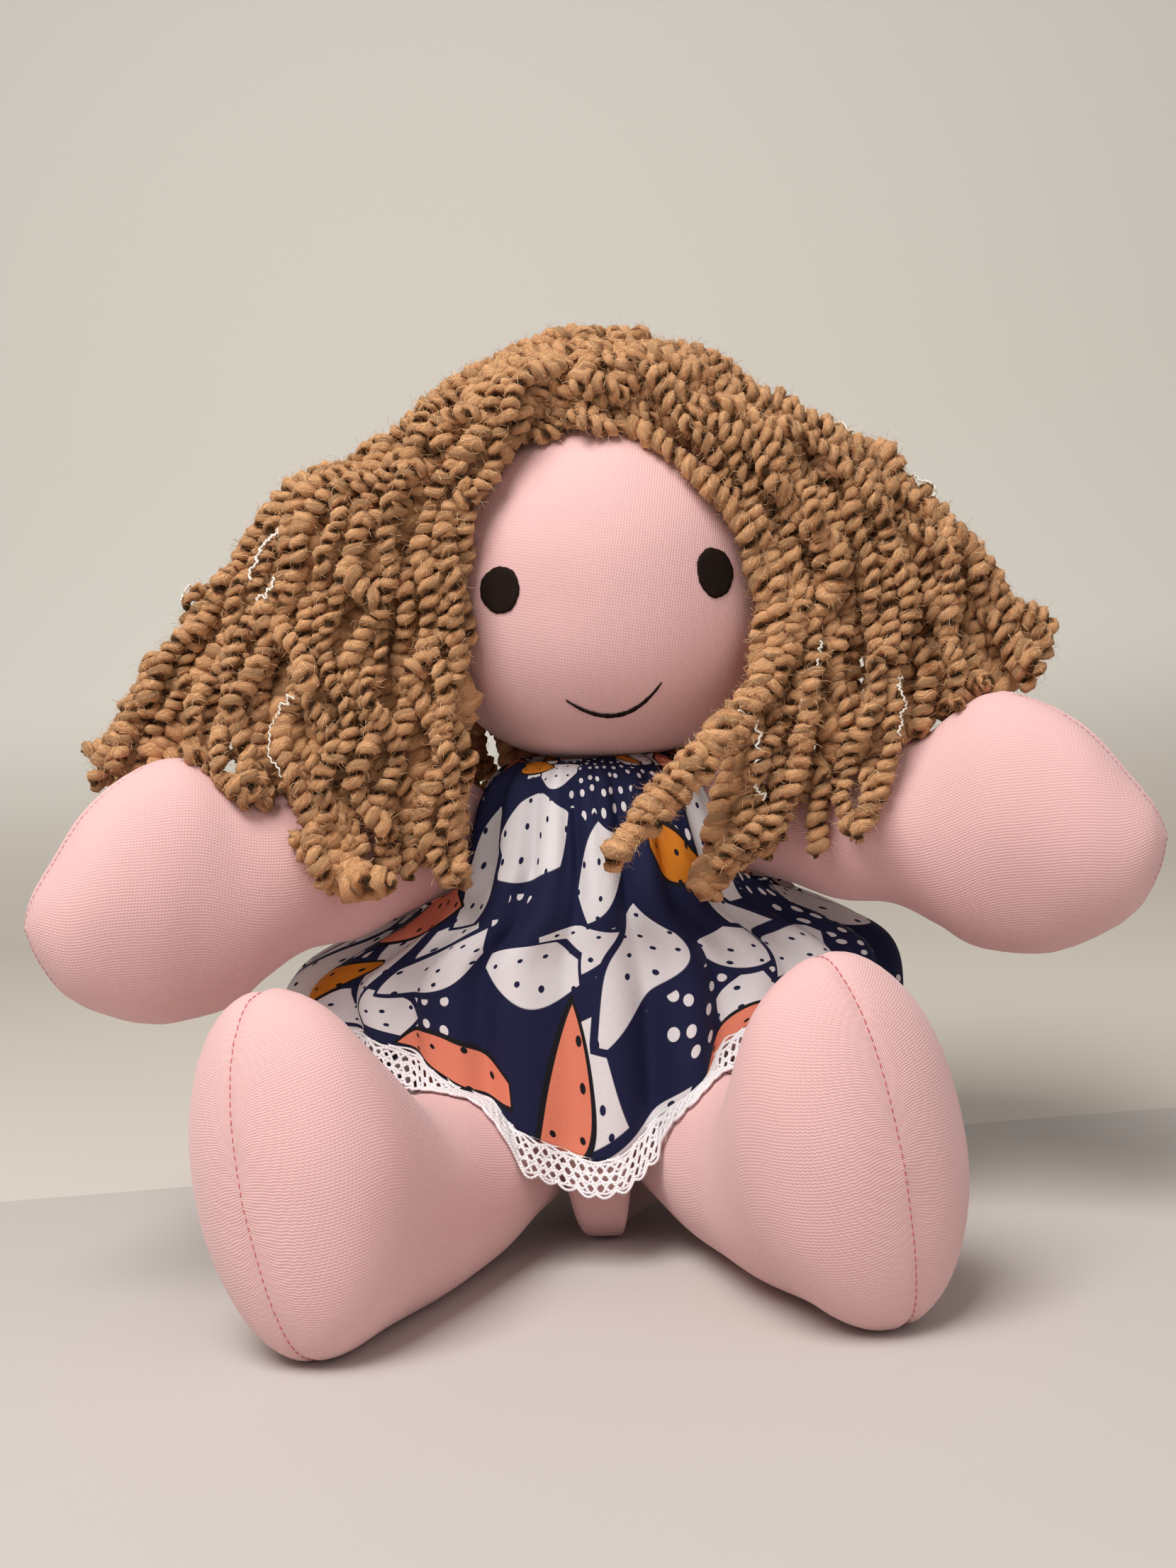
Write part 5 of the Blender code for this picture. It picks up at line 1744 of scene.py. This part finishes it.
    def clear_front(self, points: Points, gap: float) -> Points:
        """Moves forward the points that would lie in the front of the bodice."""
        straight = self.levels(np.zeros(1))[:4, 0]
        wide, deep = (np.interp(-points[:, 2], -straight[:, 2], straight[:, k]) for k in (0, 1))
        reach = 5 * MM + gap
        across = points[:, 0] / (wide + reach)
        front = self.back - (deep + reach) * np.sqrt(np.clip(1 - across * across, 0, 1))
        beside = np.abs(points[:, 0]) < wide * math.sin(self.armhole) + 1 * MM
        low = (points[:, 2] < straight[0, 2] + gap) & (points[:, 2] > self.waist_height)
        inside = beside & low & (points[:, 1] > front) & (points[:, 1] < self.back)
        moved = points.copy()
        moved[:, 1] = np.where(inside, front, points[:, 1])
        return moved

    def band(self, finishes: Finishes) -> None:
        """The gathered casing at the neck."""
        around = np.linspace(0, 2 * math.pi, 300, endpoint=False)
        turns = np.linspace(0, 2 * math.pi, 17)
        half = self.band_thickness / 2
        middle = self.band_radius + half
        gather = 0.35 * MM * np.cos(around * 40 + 1.5 * np.sin(around * 7))
        rings = []
        for turn in turns:
            radius = middle + half * math.cos(turn) + gather * math.cos(turn)
            height = np.full_like(around, self.torso_height + self.band_height / 2 * math.sin(turn))
            rings.append(np.stack([radius * np.cos(around), self.back + radius * np.sin(around), height], axis=1))
        grid = np.array(rings)
        cloth = np.stack(np.broadcast_arrays(around * self.flat_reach, turns[:, None] * half), axis=-1)
        piece = closed_piece("neck_casing", grid, finishes.cotton, cloth)
        present(piece, ["dress_neckband"], "torso")

    def build(self, tools: Tools, finishes: Finishes) -> None:
        """Makes both panels, their lace and the neckband."""
        for facing in Facing:
            grid, cloth = self.grid(facing)
            name = f"dress_{facing.value}_panel"
            piece = thick_sheet(f"{name}_cloth", grid, self.cotton, finishes.cotton, cloth)
            lace = self.lace(grid, facing, tools, finishes)
            present(piece, [name], "torso")
            flat = self.cut(grid)
            LOG.info("%s: cut %.3f by %.3f m, %.4f m2", name, *flat)
        self.band(finishes)


# Hair


@dataclass
class Bunch:
    """A fan of yarn strands on one side of the head."""

    name: str
    node: str
    root_turns: tuple[float, ...]
    guides: tuple[tuple[tuple[float, float, float], ...], ...]
    strands: int
    layers: tuple[float, ...]
    part_x: float
    part_y: tuple[float, float]
    locks: tuple[tuple[tuple[float, float, float], ...], ...] = ()
    fullness: float = 1.0


@dataclass
class Hair:
    """Boucle yarn sewn along a parting, piled on the crown and falling in loose bunches."""

    head: Head
    arms: list[Loft]
    dress: Dress
    spread: float = 0.150
    reach: float = 0.061
    rise: float = 0.060
    fall: float = 0.104
    front_rim: float = math.radians(36)
    back_rim: float = math.radians(60)
    crown_depth: float = 0.026
    back_depth: float = 0.010
    strand_radius: float = 3.05 * MM
    coil_pitch: float = 4.6 * MM
    binder_count: int = 6
    halo: float = 400000.0
    wrapping: float = 210000.0
    clump_share: float = 0.62
    blend_top: float = 0.225
    blend_end: float = 0.150
    step: float = 1.6 * MM
    inner_swell: float = 1.65
    crown_loops: int = 100
    fringe_curls: int = 26
    crown_fibres: float = 0.8
    level_fibres: tuple[float, ...] = (0.10, 0.40, 1.0)
    bunches: tuple[Bunch, ...] = (
        Bunch(
            "left_hair",
            "hair_left_locks",
            (24, 44, 64, 86, 112),
            (
                ((0.28, -0.63, 0.30), (0.34, -0.66, -0.13), (0.27, -0.78, -0.55), (0.17, -0.84, -0.98)),
                ((0.40, -0.66, 0.35), (0.44, -0.68, -0.14), (0.36, -0.76, -0.56), (0.28, -0.72, -0.94)),
                ((0.54, -0.55, 0.38), (0.62, -0.62, -0.09), (0.60, -0.76, -0.50), (0.55, -0.86, -0.80)),
                ((0.61, -0.28, 0.42), (0.77, -0.38, 0.00), (0.86, -0.46, -0.24), (0.91, -0.50, -0.38)),
                ((0.60, 0.40, 0.37), (0.76, 0.32, -0.06), (0.87, 0.16, -0.28), (0.92, 0.00, -0.40)),
            ),
            15,
            (-9.5, -3.5, 2.0),
            4 * MM,
            (-0.62, 0.30),
            (
                (
                    (0.016, 0.004, 0.264), (0.040, -0.008, 0.244), (0.053, -0.008, 0.226),
                    (0.0580, -0.007, 0.206), (0.0570, -0.008, 0.188), (0.051, -0.013, 0.174),
                    (0.037, -0.018, 0.161), (0.021, -0.023, 0.147), (0.007, -0.026, 0.131),
                ),
                (
                    (0.060, 0.000, 0.232), (0.063, -0.008, 0.204), (0.058, -0.013, 0.182),
                    (0.045, -0.018, 0.166), (0.030, -0.024, 0.153), (0.014, -0.028, 0.138),
                ),
                (
                    (0.070, -0.002, 0.212), (0.066, -0.011, 0.188), (0.052, -0.016, 0.170),
                    (0.036, -0.021, 0.153), (0.021, -0.025, 0.140), (0.003, -0.027, 0.127),
                ),
            ),
        ),
        Bunch(
            "right_hair",
            "hair_right_locks",
            (-26, -44, -64, -86, -112),
            (
                ((-0.27, -0.70, 0.37), (-0.31, -0.76, -0.09), (-0.33, -0.78, -0.50), (-0.36, -0.74, -0.97)),
                ((-0.42, -0.68, 0.42), (-0.49, -0.72, -0.09), (-0.51, -0.78, -0.49), (-0.50, -0.76, -0.90)),
                ((-0.59, -0.56, 0.42), (-0.69, -0.66, -0.09), (-0.71, -0.80, -0.46), (-0.70, -0.92, -0.84)),
                ((-0.67, -0.28, 0.45), (-0.86, -0.40, -0.02), (-1.00, -0.50, -0.30), (-1.11, -0.56, -0.53)),
                ((-0.67, 0.40, 0.37), (-0.87, 0.32, -0.06), (-1.03, 0.16, -0.27), (-1.12, 0.00, -0.42)),
            ),
            16,
            (-9.5, -3.5, 2.0),
            -4 * MM,
            (-0.62, 0.30),
        ),
        Bunch(
            "back_hair",
            "hair_back_locks",
            (115, 147, 180, 213, 245),
            (
                ((0.59, 0.48, 0.36), (0.75, 0.40, -0.07), (0.86, 0.24, -0.30), (0.91, 0.09, -0.44)),
                ((0.26, 0.97, 0.12), (0.34, 1.00, -0.30), (0.37, 0.98, -0.62), (0.38, 0.96, -0.84)),
                ((0.00, 1.02, 0.12), (-0.02, 1.03, -0.32), (-0.03, 1.02, -0.66), (-0.04, 1.01, -0.90)),
                ((-0.32, 0.97, 0.12), (-0.44, 1.00, -0.30), (-0.50, 0.98, -0.62), (-0.52, 0.96, -0.84)),
                ((-0.66, 0.48, 0.36), (-0.86, 0.40, -0.07), (-1.01, 0.24, -0.29), (-1.08, 0.09, -0.42)),
            ),
            29,
            (-14.5, -5.5, 3.4),
            0.0,
            (0.35, 0.75),
            fullness=0.4,
        ),
    )

    def rim(self, turn: Points) -> Points:
        """How far down the crown comes, from the forehead round to the nape."""
        around = np.abs(wrapped(turn))
        return self.front_rim + (self.back_rim - self.front_rim) * smooth(around / math.pi)

    def depth(self, turn: Points) -> Points:
        """How deep the yarn lies on the head at the crown's rim."""
        around = np.abs(wrapped(turn))
        return self.crown_depth + (self.back_depth - self.crown_depth) * smooth(2 * around / math.pi - 1)

    def root_turn(self, bunch: Bunch, across: float) -> float:
        """Where a strand of the bunch leaves the rim, turned from the front."""
        turns = np.radians(bunch.root_turns)[:, None]
        return catmull(turns, np.array([across * (len(turns) - 1)]))[0, 0]

    def guide(self, bunch: Bunch, across: float, down: Points) -> Points:
        """The bunch's middle surface, from its root on the rim down to its ends."""
        turn = self.root_turn(bunch, across)
        polar = float(self.rim(np.array(turn)))
        way = np.array((math.sin(polar) * math.sin(turn), -math.sin(polar) * math.cos(turn), math.cos(polar)))
        root = self.head.over(way[None], 0.9 * MM + self.depth(np.array(turn)) / 2)[0]
        place = np.array([across * (len(bunch.guides) - 1)])
        runs = []
        for j in range(4):
            shares = catmull(np.array([guide[j] for guide in bunch.guides]), place)[0]
            tall = self.rise if shares[2] > 0 else self.fall
            runs.append(np.array(self.head.centre) + shares * np.array((self.spread, self.reach, tall)))
        return catmull(np.array([root, *runs]), down)

    def settle(self, path: Points, thick: float) -> Points:
        """Keeps a strand off the head, the arms and the front of the dress."""
        for _ in range(2):
            path = self.head.clear(path, thick + 0.6 * MM)
            for arm in self.arms:
                path = arm.clear(path, thick + 0.4 * MM)
            path = self.dress.clear_front(path, thick + 0.6 * MM)
        return path

    def strand(
        self, bunch: Bunch, across: float, layer: float, clump: tuple[float, float], rng: np.random.Generator
    ) -> tuple[Points, float]:
        """One strand's path and half its thickness.

        Args:
            bunch: the bunch it belongs to.
            across: its place in the bunch at the root.
            layer: how far off the bunch's middle surface it lies, in millimetres.
            clump: the place of the lock it falls into, and how far down that lock reaches.
            rng: the source of chance.

        Returns:
            The path from the parting to the cut end, and half the thickness.
        """
        count = len(bunch.layers)
        level = (bunch.layers.index(layer) + 0.5) / count
        thick = self.strand_radius * rng.uniform(0.82, 1.16) * (self.inner_swell if level < 1 / count else 1.0)
        middle, reach = clump
        down = np.linspace(0.0, reach - rng.uniform(0, 0.35), 60)
        drawn = self.clump_share * (level - 0.5 / count) * smooth((down - 0.9) / 2.2)[:, None]
        fall = self.guide(bunch, across, down) * (1 - drawn) + self.guide(bunch, middle, down) * drawn
        aside = self.guide(bunch, min(across + 0.03, 1.0), down) - self.guide(bunch, max(across - 0.03, 0.0), down)
        along = np.gradient(fall, axis=0)
        outward = unit(np.cross(aside, along))
        away = fall - np.array(self.head.centre)
        outward *= np.sign(np.sum(outward * away, axis=1))[:, None]
        root_depth = float(self.depth(np.array(self.root_turn(bunch, across))))
        root_shift = (level - 0.5) * max(root_depth - 2 * thick, 0.0)
        share = smooth(down / 2.2)
        shift = root_shift * (1 - share) + layer * MM * share
        fall = fall + outward * shift[:, None]
        root_way = unit((fall[0] - np.array(self.head.centre)) / self.head.sizes())
        start_y = bunch.part_y[0] + (bunch.part_y[1] - bunch.part_y[0]) * across
        if bunch.part_x == 0.0:
            start_y = rng.uniform(*bunch.part_y)
            part_x = (across - 0.5) * -14 * MM
        else:
            part_x = bunch.part_x
        start_way = np.array((part_x / self.head.half_width, start_y * 0.75, 0.0))
        start_way[2] = math.sqrt(max(1 - start_way @ start_way, 0.05))
        shares = np.linspace(0, 1, 16)[:-1]
        ways = unit(start_way * (1 - shares[:, None]) + root_way * shares[:, None])
        low, high = 3.4 * MM, self.crown_depth - 6.5 * MM
        out_start = low + (high - low) * level
        out_root = float(np.linalg.norm(fall[0] - self.head.over(root_way[None], 0.0)[0]))
        bulge = 2.0 * MM * np.sin(shares * math.pi)
        lead = self.head.over(ways, out_start + (out_root - out_start) * smooth(shares) + bulge)
        path = np.vstack([lead, fall[1:]])
        steps = lengths(path)
        samples = np.arange(0, steps[-1], self.step)
        path = resampled(path, steps, samples)
        loose = smooth(samples / (60 * MM))
        sway = wandering(samples, 42 * MM, rng)
        wave = wandering(samples, 17 * MM, rng)
        path = path + sway * (4.6 * MM * loose)[:, None] + wave * (1.1 * MM)
        return self.settle(path, thick), thick

    def lock(self, run: Sequence[tuple[float, float, float]], rng: np.random.Generator) -> Points:
        """A loose strand's path through given points."""
        path = catmull(np.array(run), np.linspace(0, len(run) - 1, 90))
        wave = wandering(np.arange(len(path)) * self.step, 17 * MM, rng)
        return self.settle(path + wave * (1.2 * MM), self.strand_radius)

    def ends(self, path: Points, thick: float, rng: np.random.Generator) -> Points:
        """Half the thickness along a strand, tapering to a soft end."""
        steps = lengths(path)
        left = steps[-1] - steps
        uneven = 0.17 * ripple(steps[:, None], 26 * MM, int(rng.integers(1 << 30)))
        body = thick * (1 + uneven + 0.22 * np.exp(-left / (7 * MM)))
        tip = np.sqrt(np.clip(1 - (1 - np.clip(left / (1.3 * thick), 0, 1)) ** 2, 0.02, 1))
        base = np.sqrt(np.clip(1 - (1 - np.clip(steps / thick, 0, 1)) ** 2, 0.05, 1))
        return body * tip * base

    def crown_paths(self, rng: np.random.Generator) -> tuple[list[Points], list[float]]:
        """Short curled loops piled on top of the head."""
        paths, sizes = [], []
        for k in range(self.crown_loops):
            thick = self.strand_radius * rng.uniform(0.95, 1.35)
            y = -0.66 + 1.42 * ((k * 0.618) % 1.0)
            x = rng.uniform(-0.62, 0.62)
            way = unit(np.array((x, y * 0.85, math.sqrt(max(1 - x * x - (y * 0.85) ** 2, 0.12)))))
            heading = unit(np.cross(way, np.array((math.sin(k * 2.4), math.cos(k * 2.4), 0.25))))
            other = np.cross(way, heading)
            turn = np.linspace(-1, 1, 26)
            swing = rng.uniform(7, 14) * MM
            high = (rng.uniform(15.5, 23.0) + 3.2 * float(smooth((y + 0.35) / 0.4))) * MM
            centre = self.head.over(way[None], 0.0)[0]
            curl = rng.uniform(-1, 1)
            path = (
                centre
                + heading * (turn * swing)[:, None]
                + other * (curl * 7 * MM * np.sin(turn * math.pi))[:, None]
                + way * (6 * MM + (high - 6 * MM) * (1 - np.abs(turn) ** 3))[:, None]
            )
            paths.append(self.settle(path, thick))
            sizes.append(thick)
        for k in range(self.fringe_curls):
            thick = self.strand_radius * rng.uniform(0.85, 1.1)
            row = k % 2
            middle = math.radians(-58 + 116 * (k + 0.5) / self.fringe_curls) + rng.uniform(-0.05, 0.05)
            turn = middle + np.linspace(-0.26, 0.26, 22)
            polar = self.front_rim + math.radians(2.5 - 6.5 * row) + 0.07 * np.sin(np.linspace(0, math.pi, 22) + k)
            ways = np.stack([np.sin(polar) * np.sin(turn), -np.sin(polar) * np.cos(turn), np.cos(polar)], axis=1)
            out = thick + (1.2 + 7.0 * row + 3.2 * np.sin(np.linspace(0, 2.2 * math.pi, 22) + k)) * MM
            paths.append(self.settle(self.head.over(ways, out), thick))
            sizes.append(thick)
        return paths, sizes

    def spin(
        self,
        name: str,
        paths: list[Points],
        sizes: list[float],
        fuzziness: float,
        tools: Tools,
        finishes: Finishes,
        rng: np.random.Generator,
    ) -> list[bpy.types.Object]:
        """Winds yarn along the paths and plants its fibres, in the given share of the full number."""
        thick = [self.ends(path, size, rng) for path, size in zip(paths, sizes)]
        phases = [float(rng.uniform(0, 2 * math.pi)) for _ in paths]
        source = path_object(f"{name}_paths", paths, thick, phases)
        yarn = tools.curls.apply(source, f"{name}_yarn", finishes.yarn, Coil_Pitch=self.coil_pitch)
        discard(source)
        fuzz = tools.fuzz.apply(yarn, f"{name}_fuzz", finishes.fibre, Density=self.halo * fuzziness)
        wrap = tools.wrap.apply(yarn, f"{name}_wrap", finishes.fibre, Density=self.wrapping * fuzziness)
        for piece in (yarn, fuzz, wrap):
            present(piece)
        return [yarn, fuzz, wrap]

    def binders(
        self,
        name: str,
        paths: list[Points],
        sizes: list[float],
        tools: Tools,
        finishes: Finishes,
        rng: np.random.Generator,
    ) -> bpy.types.Object:
        """Thin crimped threads that have worked loose from the yarn."""
        lines, thick = [], []
        for k in rng.choice(len(paths), self.binder_count, replace=False):
            path = paths[k]
            first = int(len(path) * rng.uniform(0.45, 0.78))
            run = path[first : first + int(rng.uniform(9, 17))]
            if len(run) < 5:
                continue
            fine = catmull(run, np.linspace(0, len(run) - 1, len(run) * 6))
            away = unit(fine - np.array(self.head.centre))
            away[:, 1] = -np.abs(away[:, 1]) - 0.6
            along = unit(np.gradient(fine, axis=0))
            away = unit(away - np.sum(away * along, axis=1)[:, None] * along)
            crimp = np.sin(np.arange(len(fine)) * 1.25 + k) * 0.55 * MM
            aside = np.cross(along, away)
            drift = ripple(np.arange(len(fine))[:, None] * MM, 14 * MM, int(k)) * 1.6 * MM
            spot = fine + away * (sizes[k] * 1.12) + aside * (crimp + drift)[:, None]
            lines.append(spot)
            thick.append(np.full(len(spot), rng.uniform(0.28, 0.42) * MM))
        source = path_object(f"{name}_binder_paths", lines, thick, [0.0] * len(lines))
        piece = tools.thread.apply(source, f"{name}_binders", finishes.binder, Facets=5)
        discard(source)
        present(piece)
        return piece

    def bend(self, pieces: Sequence[bpy.types.Object]) -> None:
        """Bakes each piece's transform into its mesh."""
        x, y, _ = self.head.centre
        for piece in pieces:
            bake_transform(piece)

    def build(self, tools: Tools, finishes: Finishes) -> None:
        """Makes the crown and the three bunches."""
        rng = np.random.default_rng(SEED)
        paths, sizes = self.crown_paths(rng)
        crown = self.spin("crown", paths, sizes, self.crown_fibres, tools, finishes, rng)
        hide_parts("hair_crown")
        for piece in crown:
            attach(piece, "head")
        for bunch in self.bunches:
            count = bunch.strands * 2 // 5
            middles = [(k + rng.uniform(0.3, 0.7)) / count for k in range(count)]
            clumps = [(place, float(rng.uniform(3.85, 4.15))) for place in middles]
            for level, layer in enumerate(bunch.layers):
                paths, sizes = [], []
                for k in range(bunch.strands):
                    across = float(np.clip((k + 0.5 + rng.uniform(-0.45, 0.45)) / bunch.strands, 0, 1))
                    clump = min(clumps, key=lambda place: abs(place[0] - across))
                    path, size = self.strand(bunch, across, layer, clump, rng)
                    paths.append(path)
                    sizes.append(size)
                if level == len(bunch.layers) - 1:
                    for run in bunch.locks:
                        paths.append(self.lock(run, rng))
                        sizes.append(self.strand_radius * 1.2)
                fuzziness = bunch.fullness * self.level_fibres[level]
                pieces = self.spin(f"{bunch.name}_{level}", paths, sizes, fuzziness, tools, finishes, rng)
                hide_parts(bunch.node)
                self.bend(pieces)
            self.bend([self.binders(bunch.name, paths, sizes, tools, finishes, rng)])


# Stage


@dataclass
class Studio:
    """The floor, the backdrop, the lamps and the camera."""

    camera_place: tuple[float, float, float] = (0.0, -0.541, 0.178)
    pitch: float = math.radians(-3.0)
    roll: float = math.radians(-4.6)
    lens: float = 39.5
    sensor: float = 36.0

    def camera(self) -> None:
        """Sets the camera where the photo was taken from."""
        data = bpy.data.cameras.new("camera")
        data.sensor_fit = "VERTICAL"
        data.sensor_height = self.sensor
        data.sensor_width = self.sensor
        data.lens = self.lens
        data.clip_start, data.clip_end = 0.01, 20.0
        made = linked("camera", data)
        way = Vector((0.0, math.cos(self.pitch), math.sin(self.pitch)))
        turn = way.to_track_quat("-Z", "Y").to_matrix().to_4x4() @ Matrix.Rotation(self.roll, 4, "Z")
        made.matrix_world = Matrix.Translation(Vector(self.camera_place)) @ turn
        bpy.context.scene.camera = made

    def lamp(self, name: str, place: tuple[float, float, float], size: float, power: float, colour: Colour) -> None:
        """A square area lamp that looks at the doll's middle."""
        data = bpy.data.lights.new(name, "AREA")
        data.size, data.energy, data.color = size, power, colour
        made = linked(name, data)
        made.location = place
        made.rotation_mode = "QUATERNION"
        made.rotation_quaternion = (Vector((0.0, 0.0, 0.14)) - Vector(place)).to_track_quat("-Z", "Y")

    def backdrop(self, finishes: Finishes) -> None:
        """A floor that sweeps up into a backdrop."""
        bend = [(0.9 + 0.5 * math.sin(a), 0.5 - 0.5 * math.cos(a)) for a in np.linspace(0, math.pi / 2, 25)]
        profile = [(-2.5, 0.0), (0.115, 0.0), (0.118, 0.0), *bend, (1.4, 2.6)]
        grid = np.array([[(x, y, z) for x in np.linspace(-3, 3, 9)] for y, z in profile])
        faces = grid_faces(*grid.shape[:2])
        floor = mesh_piece("studio_sweep", grid.reshape(-1, 3), faces, finishes.studio, weld=False)

    def build(self, finishes: Finishes) -> None:
        """Sets up everything round the doll."""
        self.backdrop(finishes)
        self.lamp("window", (-0.40, -0.62, 1.30), 0.8, 22.2, (1.0, 0.985, 0.96))
        self.lamp("fill", (0.9, -1.2, 0.9), 1.2, 3.6, (1.0, 0.97, 0.94))
        world = bpy.data.worlds.new("studio_air")
        world.use_nodes = True
        air = world.node_tree.nodes["Background"]
        air.inputs["Color"].default_value = (1.0, 0.985, 0.96, 1.0)
        air.inputs["Strength"].default_value = 0.30
        bpy.context.scene.world = world
        bpy.context.scene.view_settings.view_transform = "Standard"
        self.camera()


def clear_startup() -> None:
    """Removes Blender's own first objects."""
    for obj in list(bpy.data.objects):
        bpy.data.objects.remove(obj, do_unlink=True)


def main() -> None:
    """Builds the doll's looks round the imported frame."""
    logging.basicConfig(level=logging.INFO, format="%(name)s: %(message)s")
    clear_startup()
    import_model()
    finishes, tools = Finishes(), Tools()
    arms = [Arm(Side.LEFT), Arm(Side.RIGHT)]
    legs = [
        Leg(Side.LEFT, (0.024, 0.028, 0.031), math.radians(22), math.radians(6)),
        Leg(Side.RIGHT, (-0.034, 0.034, 0.031), math.radians(28), math.radians(-9)),
    ]
    head = Head()
    Studio().build(finishes)
    head.build(finishes)
    Torso().build([*arms, *legs], finishes)
    for limb in (*arms, *legs):
        limb.build(tools, finishes)
    dress = Dress([leg.form() for leg in legs])
    dress.build(tools, finishes)
    Hair(head, [arm.form() for arm in arms], dress).build(tools, finishes)
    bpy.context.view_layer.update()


if __name__ == "__main__":
    main()
